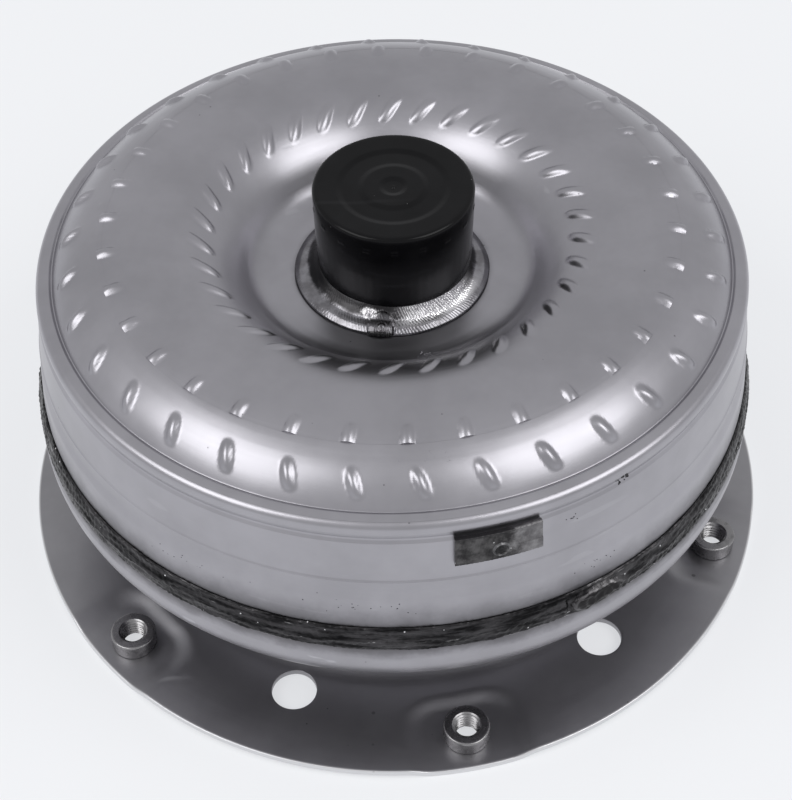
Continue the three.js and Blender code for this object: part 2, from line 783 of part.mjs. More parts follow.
function makeDamperSprings() {
  around(SPRING_COUNT, 180 / SPRING_COUNT, (angleDeg, i) => {
    const spring = arcBar(SPRING_R, SPRING_CIRCLE_R, SPRING_Z, SPRING_SPAN_DEG, angleDeg, 8, 4);
    add(`damper_spring_${i + 1}`, spring, SPRING_STEEL);
  });
}

function makeSpringRetainer() {
  const outline = [
    [RETAINER_INNER_R, RETAINER_FLOOR],
    [RETAINER_R - 2.6, RETAINER_FLOOR],
    [RETAINER_R, RETAINER_FLOOR + 3],
    [RETAINER_R, RETAINER_TOP],
    [RETAINER_R - RETAINER_T, RETAINER_TOP],
    [RETAINER_R - RETAINER_T, RETAINER_FLOOR + 4],
    [RETAINER_R - 3.6, RETAINER_FLOOR + RETAINER_T],
    [RETAINER_INNER_R, RETAINER_FLOOR + RETAINER_T],
  ];
  const lug = (angleDeg) =>
    sector(92, 108.6, LUG_SPAN_DEG, RETAINER_FLOOR + 1, SPRING_Z - 1.8, angleDeg, 2);
  const key = (angleDeg) => sector(110.5, 120.6, 7, KEY_Z, KEY_Z + KEY_T, angleDeg, 1);
  const pieces = [...around(SPRING_COUNT, 0, lug), ...around(KEY_COUNT, 30, key)];
  add("damper_spring_retainer", join(revolve(outline, SIDES_DISC), pieces), SPRING_STEEL);
}

function makePiston() {
  const face = COVER_CORNER_Z - COVER_CORNER_R + COVER_T;
  const web = face + 1.4;
  const outline = [
    [TURBINE_HUB_R + 0.9, PISTON_HUB_BOTTOM],
    [PISTON_HUB_R, PISTON_HUB_BOTTOM],
    [PISTON_HUB_R, PISTON_WELL_Z],
    [82, PISTON_WELL_Z],
    [93, web],
    [PISTON_R - 2.8, web],
    [PISTON_R, web + 2],
    [PISTON_R, PISTON_RIM_TOP],
    [PISTON_R - 2.6, PISTON_RIM_TOP],
    [PISTON_R - 2.6, web + PISTON_T],
    [92, web + PISTON_T],
    [81, PISTON_WELL_Z + PISTON_T],
    [PISTON_HUB_R, PISTON_WELL_Z + PISTON_T],
    [PISTON_HUB_R, PISTON_HUB_TOP],
    [TURBINE_HUB_R + 0.9, PISTON_HUB_TOP],
  ];
  const notch = (angleDeg) => sector(115, 125, 8.2, KEY_Z - 1, PISTON_RIM_TOP + 3, angleDeg, 1);
  const piston = cut(revolve(outline, SIDES_DISC), around(KEY_COUNT, 30, notch));
  add("lockup_piston", piston, HUB_FORGING);
}

function makeFrictionLining() {
  const face = COVER_CORNER_Z - COVER_CORNER_R + COVER_T;
  const outline = [
    [LINING_INNER_R, face + 0.2],
    [LINING_OUTER_R, face + 0.2],
    [LINING_OUTER_R, face + 1.3],
    [LINING_INNER_R, face + 1.3],
  ];
  add("friction_lining", revolve(outline, SIDES_INSIDE), LINING_PAPER);
}

// ---------------------------------------------------------------- stator and one-way clutch

function makeStatorWheel() {
  const hub = revolve(
    [
      [RACE_OUTER_R + FINE_GAP, STATOR_HUB_BOTTOM],
      [STATOR_HUB_R, STATOR_HUB_BOTTOM],
      [STATOR_HUB_R, STATOR_HUB_TOP],
      [RACE_OUTER_R + FINE_GAP, STATOR_HUB_TOP],
    ],
    SIDES_INSIDE,
  );
  const shroud = revolve(
    [
      [STATOR_SHROUD_R, STATOR_SHROUD_Z],
      [STATOR_SHROUD_R + STATOR_SHROUD_T, STATOR_SHROUD_Z],
      [STATOR_SHROUD_R + STATOR_SHROUD_T, STATOR_SHROUD_Z + STATOR_SHROUD_H],
      [STATOR_SHROUD_R, STATOR_SHROUD_Z + STATOR_SHROUD_H],
    ],
    SIDES_INSIDE,
  );
  // heights from the middle of the blade, which leans about that line
  const outline = [
    [STATOR_HUB_R - 1, -8.5],
    [68.5, -8.5],
    [STATOR_SHROUD_R + 1, 2.9],
    [STATOR_SHROUD_R + 1, 8.3],
    [66, 10.5],
    [STATOR_HUB_R - 1, 7.5],
  ];
  const blade = (angleDeg) => {
    const plate = radialPlate(outline, STATOR_BLADE_T);
    plate.rotateX(rad(STATOR_BLADE_LEAN_DEG));
    plate.translate(0, 0, STATOR_MIDDLE_Z);
    plate.rotateZ(rad(angleDeg));
    return plate;
  };
  const wheel = join(hub, [shroud, ...around(STATOR_BLADES, 0, blade)]);
  add("stator_wheel", wheel, CAST_ALUMINIUM);
}

function makeOneWayClutch() {
  const low = CLUTCH_LOW;
  const high = CLUTCH_HIGH;
  const ring = revolve(
    [
      [CAM_INNER_R, low],
      [RACE_OUTER_R, low],
      [RACE_OUTER_R, high],
      [CAM_INNER_R, high],
    ],
    SIDES_INSIDE,
  );
  const pocket = (angleDeg) => {
    const ramp = post(3.1, low - 2, high + 2, ROLLER_CIRCLE_R + 0.4, angleDeg, SIDES_HOLE - 2);
    const bay = radialBox(34, ROLLER_CIRCLE_R + 3.1, 7, low - 2, high + 2, angleDeg + 6.5);
    return geometryOf(solidOf(ramp).add(solidOf(bay)));
  };
  const cam = cut(ring, around(ROLLER_COUNT, 0, pocket));
  add("clutch_cam_race", cam, HUB_FORGING);

  around(ROLLER_COUNT, 0, (angleDeg, i) => {
    const roller = post(ROLLER_R, low + 0.6, high - 0.6, ROLLER_CIRCLE_R, angleDeg, SIDES_HOLE - 2);
    add(`clutch_roller_${i + 1}`, roller, HUB_STEEL);
  });

  const ringZ = high + 0.4;
  const ringOutline = [
    [SNAP_RING_R, ringZ],
    [RACE_OUTER_R - FINE_GAP, ringZ],
    [RACE_OUTER_R - FINE_GAP, ringZ + SNAP_RING_T],
    [SNAP_RING_R, ringZ + SNAP_RING_T],
  ];
  const opening = sector(30, 50, 14, high - 2, high + 4, 90, 2);
  add("clutch_snap_ring", cut(revolve(ringOutline, SIDES_INSIDE), [opening]), SPRING_STEEL);
}

function makeInnerRace() {
  const body = revolve(
    [
      [STATOR_SPLINE_R - 3, INNER_RACE_BOTTOM],
      [INNER_RACE_R, INNER_RACE_BOTTOM],
      [INNER_RACE_R, INNER_RACE_TOP],
      [STATOR_SPLINE_R - 3, INNER_RACE_TOP],
    ],
    SIDES_INSIDE,
  );
  const teeth = splineOutline(STATOR_SPLINE_R, 1.3, STATOR_SPLINE_TEETH);
  const bore = prism(teeth, INNER_RACE_BOTTOM - 13, INNER_RACE_TOP + 14);
  add("clutch_inner_race", cut(body, [bore]), HUB_FORGING);
}

function makeThrustWasher() {
  const outline = [
    [WASHER_INNER_R, WASHER_BOTTOM],
    [WASHER_R, WASHER_BOTTOM],
    [WASHER_R, WASHER_TOP],
    [WASHER_INNER_R, WASHER_TOP],
  ];
  add("turbine_thrust_washer", revolve(outline, SIDES_SMALL), SEAL_PLASTIC);
}

// ---------------------------------------------------------------- needle thrust bearings

function makeThrustBearing(name, innerR, outerR, bottom, needles) {
  const race = (low) => [
    [innerR, low],
    [outerR, low],
    [outerR, low + BEARING_RACE_T],
    [innerR, low + BEARING_RACE_T],
  ];
  const middle = bottom + BEARING_RACE_T + NEEDLE_PLAY + NEEDLE_R;
  const cage = revolve(
    [
      [innerR + 0.8, middle - 0.7],
      [outerR - 0.8, middle - 0.7],
      [outerR - 0.8, middle + 0.7],
      [innerR + 0.8, middle + 0.7],
    ],
    SIDES_SMALL,
  );
  const needle = (angleDeg) => {
    const length = outerR - innerR - 4;
    const pin = new THREE.CylinderGeometry(NEEDLE_R, NEEDLE_R, length, SIDES_PIN);
    pin.rotateZ(Math.PI / 2);
    pin.translate((innerR + outerR) / 2, 0, middle);
    pin.rotateZ(rad(angleDeg));
    return pin;
  };
  const top = middle + NEEDLE_R + NEEDLE_PLAY;
  add(`${name}_lower_race`, revolve(race(bottom), SIDES_SMALL), HUB_STEEL);
  add(`${name}_cage`, join(cage, around(needles, 0, needle)), HUB_STEEL);
  add(`${name}_upper_race`, revolve(race(top), SIDES_SMALL), HUB_STEEL);
}

// ---------------------------------------------------------------- assembly

makeDrivePlate();
makeBosses();
makePlateWeld();
makeFrontCover();
makePilotSpigot();
makeSeamWeld();
makeImpellerShell();
makeImpellerBlades();
makeImpellerHub();
makeHubWeld();
makeBalanceWeight();
makeHubCap();
makeTurbineShell();
makeTurbineBlades();
makeTurbineHub();
makePistonSeal();
makeDrivenPlate();
makeRivets();
makeDamperSprings();
makeSpringRetainer();
makePiston();
makeFrictionLining();
makeStatorWheel();
makeOneWayClutch();
makeInnerRace();
makeThrustWasher();
makeThrustBearing(
  "cover_bearing",
  COVER_BEARING_INNER_R,
  COVER_BEARING_R,
  COVER_BEARING_Z,
  COVER_BEARING_NEEDLES,
);
makeThrustBearing(
  "impeller_bearing",
  IMPELLER_BEARING_INNER_R,
  IMPELLER_BEARING_R,
  IMPELLER_BEARING_Z,
  IMPELLER_BEARING_NEEDLES,
);

export default root;
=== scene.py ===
"""Torque converter and drive plate: fine meshes, finishes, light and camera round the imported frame.

Outlines are in millimetres in the row frame, as [radius, height] about the converter's axis.
Azimuths are in degrees about +Z from +X.
"""

import json
import math
from collections import namedtuple

import bpy
import numpy as np
from mathutils import Matrix, Vector
from mathutils.geometry import delaunay_2d_cdt


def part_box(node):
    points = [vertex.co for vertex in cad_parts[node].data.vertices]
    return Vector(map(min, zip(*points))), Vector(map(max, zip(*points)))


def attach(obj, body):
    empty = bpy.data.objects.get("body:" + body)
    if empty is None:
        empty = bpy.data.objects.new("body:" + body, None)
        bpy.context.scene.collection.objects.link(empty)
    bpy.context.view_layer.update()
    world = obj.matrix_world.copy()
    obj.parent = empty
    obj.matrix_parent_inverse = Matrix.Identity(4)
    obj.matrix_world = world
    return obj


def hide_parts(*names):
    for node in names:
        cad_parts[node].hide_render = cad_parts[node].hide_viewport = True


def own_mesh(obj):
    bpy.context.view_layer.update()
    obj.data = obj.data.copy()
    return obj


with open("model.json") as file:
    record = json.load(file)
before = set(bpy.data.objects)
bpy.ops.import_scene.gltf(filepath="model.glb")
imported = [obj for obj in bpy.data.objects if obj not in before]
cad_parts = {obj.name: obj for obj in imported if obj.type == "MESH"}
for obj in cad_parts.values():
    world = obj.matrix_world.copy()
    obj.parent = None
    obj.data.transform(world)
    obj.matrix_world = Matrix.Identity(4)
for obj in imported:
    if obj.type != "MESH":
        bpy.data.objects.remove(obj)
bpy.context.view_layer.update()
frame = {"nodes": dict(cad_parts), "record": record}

MM = 0.001
TAU = 2 * math.pi

# ---------------------------------------------------------------- sizes read from the frame

Ring = namedtuple("Ring", "inner outer bottom top")


def ring(node):
    """Radii about the axis and heights of a CAD node, in millimetres."""
    corners = np.array([v.co for v in frame["nodes"][node].data.vertices]) / MM
    radius = np.hypot(corners[:, 0], corners[:, 1])
    return Ring(radius.min(), radius.max(), corners[:, 2].min(), corners[:, 2].max())


def azimuth(node):
    """Azimuth of the middle of a CAD node's box, in degrees."""
    low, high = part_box(node)
    middle = (low + high) / 2
    return math.degrees(math.atan2(middle.y, middle.x))


PLATE = ring("drive_plate")
COVER = ring("front_cover")
SHELL = ring("impeller_shell")
HUB = ring("impeller_hub")
CAP = ring("hub_cap")
SPIGOT = ring("pilot_spigot")
SEAM = ring("seam_weld")
HUB_BEAD = ring("hub_weld")
WEIGHT = ring("balance_weight")
BOSSES = [f"drive_boss_{i + 1}" for i in range(6)]
BOSS_AZIMUTHS = [azimuth(name) for name in BOSSES]

PLATE_T = 2.5
PAD_DROP = 1.7
PLATE_TOP = PAD_DROP + PLATE_T
PAD_TOP = PLATE_T
BOLT_CIRCLE_R = 133.4
WINDOW_CIRCLE_R = 118.2
WINDOW_R = 8.4
WEB_TOP = PLATE.top

# ---------------------------------------------------------------- outlines

ARC_STEP = math.radians(12)


def subdivided(points, step, closed):
    """The same outline with no two points further apart than step."""
    ends = np.roll(points, -1, axis=0) if closed else points[1:]
    result = []
    for start, end in zip(points, ends):
        pieces = max(1, math.ceil(np.linalg.norm(end - start) / step))
        result.extend(start + (end - start) * k / pieces for k in range(pieces))
    if not closed:
        result.append(points[-1])
    return np.array(result)


def rounded(corners, step, closed=True):
    """Points along an outline whose corners are (radius, height, fillet radius)."""
    count = len(corners)
    result = []
    for i, (r, z, fillet) in enumerate(corners):
        here = np.array([r, z], float)
        at_end = not closed and i in (0, count - 1)
        if at_end or fillet <= 0:
            result.append(here)
            continue
        before = np.array(corners[i - 1][:2]) - here
        after = np.array(corners[(i + 1) % count][:2]) - here
        before /= np.linalg.norm(before)
        after /= np.linalg.norm(after)
        half = math.acos(np.clip(before @ after, -1, 1)) / 2
        turn = math.pi - 2 * half
        bisector = (before + after) / np.linalg.norm(before + after)
        centre = here + bisector * fillet / math.sin(half)
        start = here + before * fillet / math.tan(half) - centre
        end = here + after * fillet / math.tan(half) - centre
        steps = max(2, math.ceil(turn / ARC_STEP), math.ceil(turn * fillet / step))
        for k in range(steps + 1):
            t = k / steps
            swung = math.sin((1 - t) * turn) * start + math.sin(t * turn) * end
            result.append(centre + swung / math.sin(turn))
    return subdivided(np.array(result), step, closed)


def smooth_step(value):
    t = np.clip(value, 0, 1)
    return t * t * (3 - 2 * t)


def bell(distance):
    """1 at 0, falling smoothly to 0 at 1 and beyond."""
    return np.clip(1 - distance**2, 0, None) ** 2


def turned(angle, centre_deg, count=1):
    """How far an angle in radians is past the nearest of count equally spaced azimuths, in radians."""
    pitch = TAU / count
    off = angle - math.radians(centre_deg)
    return off - pitch * np.round(off / pitch)


def waves(seed, angle, along, count, turns, pitch):
    """Random waves that close round the axis, by ranges of turns per circle and of pitch along."""
    rng = np.random.default_rng(seed)
    total = np.zeros(np.broadcast(angle, along).shape)
    for _ in range(count):
        n = rng.integers(*turns)
        k = TAU / rng.uniform(*pitch) * rng.choice([-1, 1])
        total += rng.normal() * np.cos(n * angle + k * along + rng.uniform(0, TAU))
    return total / math.sqrt(count)


# ---------------------------------------------------------------- meshes


def build_mesh(name, points, face_groups):
    """A mesh from points in millimetres and arrays of faces, each array with one corner count."""
    groups = [np.asarray(group) for group in face_groups if len(group)]
    mesh = bpy.data.meshes.new(name)
    mesh.vertices.add(len(points))
    mesh.vertices.foreach_set("co", (np.asarray(points, float) * MM).ravel())
    corners = np.concatenate([group.ravel() for group in groups])
    sizes = np.concatenate([np.full(len(group), group.shape[1]) for group in groups])
    mesh.loops.add(len(corners))
    mesh.loops.foreach_set("vertex_index", corners.astype(np.int32))
    mesh.polygons.add(len(sizes))
    mesh.polygons.foreach_set("loop_start", (np.cumsum(sizes) - sizes).astype(np.int32))
    mesh.update(calc_edges=True)
    mesh.validate()
    return mesh


def volume(points, groups):
    """Signed volume of a closed mesh: negative when its faces point inwards."""
    total = 0.0
    for group in groups:
        first = points[group[:, 0]]
        for k in range(1, group.shape[1] - 1):
            second, third = points[group[:, k]], points[group[:, k + 1]]
            total += np.einsum("ij,ij->", first, np.cross(second, third))
    return total / 6


def piece(name, points, groups, finish, body, nodes=(), sharp_deg=40):
    """A closed, smooth-shaded object that rides on a body and stands for CAD nodes.

    Its one material slot holds its finish.
    """
    groups = [np.asarray(group) for group in groups if len(group)]
    if volume(points, groups) < 0:
        groups = [group[:, ::-1] for group in groups]
    mesh = build_mesh(name, points, groups)
    mesh.shade_smooth()
    mesh.set_sharp_from_angle(angle=math.radians(sharp_deg))
    mesh.materials.append(FINISHES[finish])
    made = bpy.data.objects.new(name, mesh)
    bpy.context.scene.collection.objects.link(made)
    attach(made, body)
    if nodes:
        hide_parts(*nodes)
    return made


def grid_faces(rows, columns, close_rows, close_columns):
    """Quads between the points of a grid, stored row by row."""
    i = np.arange(rows if close_rows else rows - 1)
    j = np.arange(columns if close_columns else columns - 1)
    i, j = np.meshgrid(i, j, indexing="ij")
    below = (i + 1) % rows
    right = (j + 1) % columns
    quads = np.stack(
        [i * columns + j, i * columns + right, below * columns + right, below * columns + j],
        axis=-1,
    )
    return quads.reshape(-1, 4)


def outline_normals(points, closed):
    """Unit normals of an outline, to the right of its direction of travel."""
    if closed:
        along = np.roll(points, -1, axis=0) - np.roll(points, 1, axis=0)
    else:
        along = np.gradient(points, axis=0)
    normals = np.stack([along[:, 1], -along[:, 0]], axis=1)
    return normals / np.linalg.norm(normals, axis=1, keepdims=True)


def swept(outline, normals, angle, relief):
    """Points of an outline at each angle about the axis, pushed out along its normals."""
    radius = np.repeat(outline[:, :1], len(angle), axis=1)
    height = np.repeat(outline[:, 1:], len(angle), axis=1)
    if relief is not None:
        out = relief(radius, height, angle[None, :])
        radius = radius + normals[:, :1] * out
        height = height + normals[:, 1:] * out
    points = np.stack([radius * np.cos(angle), radius * np.sin(angle), height], axis=-1)
    return points.reshape(-1, 3)


def lathe(outline, columns, relief=None):
    """Points and faces of an outline turned about the axis.

    The outline closes on itself, or starts and ends on the axis. It runs with the material on
    its left. relief(radius, height, angle) gives how far the surface stands out, in millimetres.
    """
    outline = np.asarray(outline, float)
    on_axis = outline[0, 0] < 1e-9
    body = outline[1:-1] if on_axis else outline
    normals = outline_normals(outline, not on_axis)
    normals = normals[1:-1] if on_axis else normals
    points = swept(body, normals, np.arange(columns) * TAU / columns, relief)
    rows = len(body)
    quads = grid_faces(rows, columns, not on_axis, True)
    if not on_axis:
        return points, [quads]
    start, end = len(points), len(points) + 1
    poles = [[0, 0, outline[0, 1]], [0, 0, outline[-1, 1]]]
    j = np.arange(columns)
    nxt = (j + 1) % columns
    low_fan = np.stack([np.full(columns, start), nxt, j], axis=1)
    last = (rows - 1) * columns
    high_fan = np.stack([np.full(columns, end), last + j, last + nxt], axis=1)
    return np.vstack([points, poles]), [quads, low_fan, high_fan]


def partial_lathe(outline, from_deg, to_deg, columns, relief=None):
    """As lathe, over part of a turn, with flat ends. The outline closes on itself."""
    outline = np.asarray(outline, float)
    normals = outline_normals(outline, True)
    angle = np.radians(np.linspace(from_deg, to_deg, columns))
    points = swept(outline, normals, angle, relief)
    rows = len(outline)
    quads = grid_faces(rows, columns, True, False)
    ends = [
        np.arange(rows)[None, :] * columns,
        np.arange(rows)[None, ::-1] * columns + columns - 1,
    ]
    return points, [quads, *ends]


def moved(points, circle_r, azimuth_deg, height=0.0):
    """Points of a small piece, shifted out to a circle about the axis."""
    angle = math.radians(azimuth_deg)
    turn = np.array(
        [
            [math.cos(angle), -math.sin(angle), 0],
            [math.sin(angle), math.cos(angle), 0],
            [0, 0, 1],
        ]
    )
    return (points + np.array([circle_r, 0, height])) @ turn.T


# Where the hub bead ends in a crater, laps over itself and has a patch of spatter, and where it has
# higher ripples and a painted highlight.
CRATER_DEG = -97.0
LAP_DEG = -90.0
PATCH_DEG = -106.0
BRIGHT_DEG = -52.0
# Where the seam bead was closed: the lump's azimuth and height over the seam's lower edge, and
# half its width and height.
BLOB_DEG = -59.5
BLOB_HALF_DEG = 4.6
BLOB_UP = 4.4
BLOB_HALF_UP = 3.7
# The plug weld that holds the balance weight.
SPOT_DEG = -75.2
SPOT_Z = 109.9
WEIGHT_FACE_R = 133.0


# ---------------------------------------------------------------- finishes


class Finish:
    """A material and short ways to add nodes to it. Coordinates are the row frame's, in metres."""

    def __init__(self, name, **settings):
        self.material = bpy.data.materials.new(name)
        self.material.use_nodes = True
        self.tree = self.material.node_tree
        self.tree.nodes.clear()
        output = self.node("ShaderNodeOutputMaterial")
        self.shader = self.node("ShaderNodeBsdfPrincipled")
        self.tree.links.new(self.shader.outputs["BSDF"], output.inputs["Surface"])
        self.at = self.node("ShaderNodeTexCoord").outputs["Object"]
        self.radius, self.angle, self.height = self.polar()
        self.normal = None
        for socket, value in settings.items():
            self.set(socket.replace("_", " "), value)

    def node(self, kind, inputs=None, **settings):
        made = self.tree.nodes.new(kind)
        for key, value in settings.items():
            setattr(made, key, value)
        for key, value in (inputs or {}).items():
            self.feed(made.inputs[key], value)
        return made

    def feed(self, socket, value):
        if isinstance(value, bpy.types.NodeSocket):
            self.tree.links.new(value, socket)
        elif isinstance(value, (tuple, list)) and len(value) == 3 and socket.type == "RGBA":
            socket.default_value = (*value, 1)
        else:
            socket.default_value = value

    def set(self, socket, value):
        self.feed(self.shader.inputs[socket], value)

    def math(self, operation, a, b=0.0):
        return self.node("ShaderNodeMath", {0: a, 1: b}, operation=operation).outputs[0]

    def times(self, a, b):
        return self.math("MULTIPLY", a, b)

    def plus(self, a, b):
        return self.math("ADD", a, b)

    def minus(self, a, b):
        return self.math("SUBTRACT", a, b)

    def gap(self, a, b):
        """How far a and b are apart."""
        return self.math("ABSOLUTE", self.minus(a, b))

    def length(self, a, b):
        """The length of a vector with the parts a and b."""
        return self.math("SQRT", self.plus(self.times(a, a), self.times(b, b)))

    def away_from(self, azimuth_deg, circle_r, along, at, stretch=1.0):
        """Distance over the surface from a spot; along is the radius or the height."""
        across = self.times(self.minus(self.angle, math.radians(azimuth_deg)), circle_r * MM)
        return self.length(across, self.times(self.minus(along, at * MM), stretch))

    def ragged(self, value, reach, scale, roughness=0.6):
        """value, raised unevenly by up to reach."""
        return self.plus(value, self.times(self.noise(scale, 4.0, roughness), reach))

    def uneven(self, value, noise, reach):
        """value, shifted either way where the noise is over or under a half."""
        return self.plus(value, self.times(self.minus(noise, 0.5), reach))

    def map(self, value, low, high, to_low=0.0, to_high=1.0):
        """value's range low to high spread smoothly over to_low to to_high, and clamped."""
        inputs = {0: value, 1: low, 2: high, 3: to_low, 4: to_high}
        return self.node("ShaderNodeMapRange", inputs, interpolation_type="SMOOTHSTEP").outputs[0]

    def mix(self, share, a, b):
        node = self.node("ShaderNodeMix", data_type="RGBA")
        self.feed(node.inputs[0], share)
        self.feed(node.inputs[6], a)
        self.feed(node.inputs[7], b)
        return node.outputs[2]

    def tint(self, mask, colour, strength=1.0):
        """Mixes a colour into the base where the mask is 1."""
        self.base = self.mix(self.times(mask, strength), self.base, colour)

    def stretched(self, scale, vector=None, rotation=(0, 0, 0)):
        inputs = {"Vector": vector or self.at, "Scale": scale, "Rotation": rotation}
        return self.node("ShaderNodeMapping", inputs).outputs[0]

    def noise(self, scale, detail=3.0, roughness=0.5, vector=None):
        inputs = {
            "Vector": vector or self.at,
            "Scale": scale,
            "Detail": detail,
            "Roughness": roughness,
        }
        return self.node("ShaderNodeTexNoise", inputs).outputs[0]

    def polar(self):
        """Radius, azimuth and height about the converter's axis."""
        x, y, z = self.node("ShaderNodeSeparateXYZ", {0: self.at}).outputs
        return self.length(x, y), self.math("ARCTAN2", y, x), z

    def vector(self, x, y, z):
        return self.node("ShaderNodeCombineXYZ", {0: x, 1: y, 2: z}).outputs[0]

    def bump(self, height, distance, strength=1.0):
        inputs = {"Height": height, "Distance": distance, "Strength": strength}
        if self.normal is not None:
            inputs["Normal"] = self.normal
        self.normal = self.node("ShaderNodeBump", inputs).outputs[0]
        self.set("Normal", self.normal)

    def specks(self, scale, size, share):
        """Small round dots: 1 inside a dot. share is the part of the cells that hold one."""
        cells = self.node("ShaderNodeTexVoronoi", {"Vector": self.at, "Scale": scale})
        tone = self.node("ShaderNodeSeparateColor", {0: cells.outputs["Color"]}).outputs[0]
        chosen = self.math("LESS_THAN", tone, share)
        dot = self.map(cells.outputs["Distance"], size, size * 0.5)
        return self.times(chosen, dot)

    def streaks(self, scale, stretch, low, high, rotation=(0, 0, 0), vector=None):
        """Thin lines along one direction where stretched noise peaks."""
        along = self.stretched(stretch, vector, rotation)
        return self.map(self.noise(scale, 2.0, 0.5, along), low, high)


def turning_marks(finish, fineness):
    """Fine rings round the axis, as drawing, spinning and turning leave them, from about 0 to 1."""
    loose = finish.times(finish.angle, 0.004)
    return finish.noise(fineness, 3.0, 0.6, finish.vector(loose, finish.radius, finish.height))


def satin_steel(name, tint, roughness, marks=0.02):
    """Pressed sheet steel, bare and lightly oiled, with marks that many millimetres deep."""
    finish = Finish(name, Metallic=1.0)
    fine = turning_marks(finish, 900.0)
    broad = turning_marks(finish, 140.0)
    cloud = finish.noise(28.0, 4.0, 0.6)
    grain = finish.noise(2600.0, 2.0, 0.6)
    dark = tuple(0.86 * c for c in tint)
    finish.base = finish.mix(finish.map(cloud, 0.3, 0.72), dark, tint)
    rough = finish.plus(roughness - 0.06, finish.times(finish.plus(fine, cloud), 0.06))
    finish.rough = finish.plus(rough, finish.times(broad, 0.05))
    finish.bump(fine, marks * MM, 0.5)
    finish.bump(grain, marks * MM * 0.6, 0.5)
    return finish


def close_finish(finish):
    """Feeds the collected colour and roughness to the shader."""
    finish.set("Base Color", finish.base)
    finish.set("Roughness", finish.rough)
    return finish.material


STEEL = (0.405, 0.397, 0.425)
SCRATCH = (0.8, 0.8, 0.83)
PIT = (0.05, 0.048, 0.05)
SOOT = (0.045, 0.043, 0.046)
# Near black, for painted shade in the groove of the hub's bead next to the cap.
CAP_SHADE = (0.02, 0.0195, 0.02)
# Bright weld metal, for the spatter on the hub's bead and for the painted highlight on one side of it.
SPATTER_AND_HIGHLIGHT = (0.85, 0.84, 0.86)


def scratched(finish, share):
    """Adds thin bright scratches and small dark pits."""
    first = finish.streaks(60.0, (0.06, 1.0, 3.0), 0.70, 0.74, (0.3, 0.1, 0.5))
    second = finish.streaks(48.0, (1.0, 0.05, 2.5), 0.71, 0.75, (0.1, 0.4, -0.7))
    lines = finish.math("MAXIMUM", first, second)
    pits = finish.specks(260.0, 0.12, 0.035)
    finish.tint(lines, SCRATCH, 0.35 * share)
    finish.tint(pits, PIT, 0.55)
    finish.rough = finish.plus(finish.rough, finish.times(lines, 0.1))
    finish.bump(finish.plus(lines, pits), -0.03 * MM, 0.6)


def sooted(finish, mask, strength):
    """Darkens and dulls the finish where the mask is 1."""
    share = finish.times(mask, strength)
    finish.tint(share, SOOT)
    finish.rough = finish.plus(finish.rough, finish.times(share, 0.16))


def shell_finish():
    """Bare steel, sooted beside the hub's bead and down towards the seam."""
    finish = satin_steel("shell_steel", STEEL, 0.30)
    scratched(finish, 0.28)
    out = finish.ragged(finish.radius, 4 * MM, 90.0)
    sooted(finish, finish.map(out, 40.5 * MM, 35.5 * MM), 0.55)
    up = finish.ragged(finish.height, 10 * MM, 60.0, 0.65)
    sooted(finish, finish.map(up, 93 * MM, 79 * MM), 0.62)
    return close_finish(finish)


def cover_finish():
    """Bare steel, sooted up towards the seam."""
    finish = satin_steel("cover_steel", STEEL, 0.34)
    scratched(finish, 0.8)
    up = finish.ragged(finish.height, 8 * MM, 60.0, 0.65)
    sooted(finish, finish.map(up, 64 * MM, 70 * MM), 0.6)
    return close_finish(finish)


def plate_finish():
    """Darker steel with a bright rubbed edge and spots of dried oil."""
    finish = satin_steel("plate_steel", (0.335, 0.33, 0.345), 0.34, 0.03)
    scratched(finish, 0.7)
    edge = finish.map(finish.radius, (PLATE.outer - 0.9) * MM, (PLATE.outer - 0.2) * MM)
    finish.tint(edge, (0.8, 0.8, 0.81), 0.8)
    sooted(finish, finish.specks(95.0, 0.10, 0.10), 0.5)
    return close_finish(finish)


def boss_finish():
    """Turned steel with patches of dark oil."""
    finish = satin_steel("boss_steel", (0.30, 0.295, 0.30), 0.23, 0.03)
    oil = finish.noise(240.0, 4.0, 0.65)
    sooted(finish, finish.map(oil, 0.46, 0.75), 0.5)
    return close_finish(finish)


def burnt_finish():
    """Weld metal with black scale in streaks along the seam and a few bright beads of spatter."""
    finish = Finish("burnt_weld", Metallic=1.0)
    round_axis = finish.vector(finish.times(finish.angle, 0.135), finish.radius, finish.height)
    streak = finish.noise(520.0, 4.0, 0.65, finish.stretched((0.12, 1.0, 1.0), round_axis))
    blotch = finish.noise(75.0, 4.0, 0.65, finish.stretched((0.35, 1.0, 1.0), round_axis))
    glint = finish.streaks(700.0, (0.10, 1.0, 1.0), 0.70, 0.78, vector=round_axis)
    black, grey = (0.010, 0.0098, 0.0105), (0.062, 0.060, 0.063)
    finish.base = finish.mix(finish.map(streak, 0.36, 0.66), black, grey)
    finish.tint(finish.map(blotch, 0.60, 0.80), (0.16, 0.156, 0.16), 0.45)
    finish.tint(glint, (0.6, 0.59, 0.6), 0.8)
    finish.tint(finish.specks(520.0, 0.20, 0.06), (0.75, 0.74, 0.76), 0.9)
    sideways = finish.minus(finish.angle, math.radians(BLOB_DEG))
    sideways = finish.times(sideways, 1 / math.radians(BLOB_HALF_DEG))
    upward = finish.minus(finish.height, (SEAM.bottom + BLOB_UP) * MM)
    upward = finish.times(upward, 1 / (BLOB_HALF_UP * MM))
    reach = finish.uneven(finish.length(sideways, upward), blotch, 0.5)
    finish.tint(finish.map(reach, 1.0, 0.85), (0.028, 0.027, 0.028), 0.85)
    brim = finish.map(finish.gap(reach, 0.98), 0.09, 0.03)
    finish.tint(brim, (0.34, 0.33, 0.34), 0.22)
    finish.rough = finish.map(streak, 0.3, 0.7, 0.42, 0.26)
    finish.bump(finish.noise(1300.0, 4.0, 0.7), 0.10 * MM, 0.8)
    finish.bump(streak, 0.10 * MM, 0.7)
    return close_finish(finish)


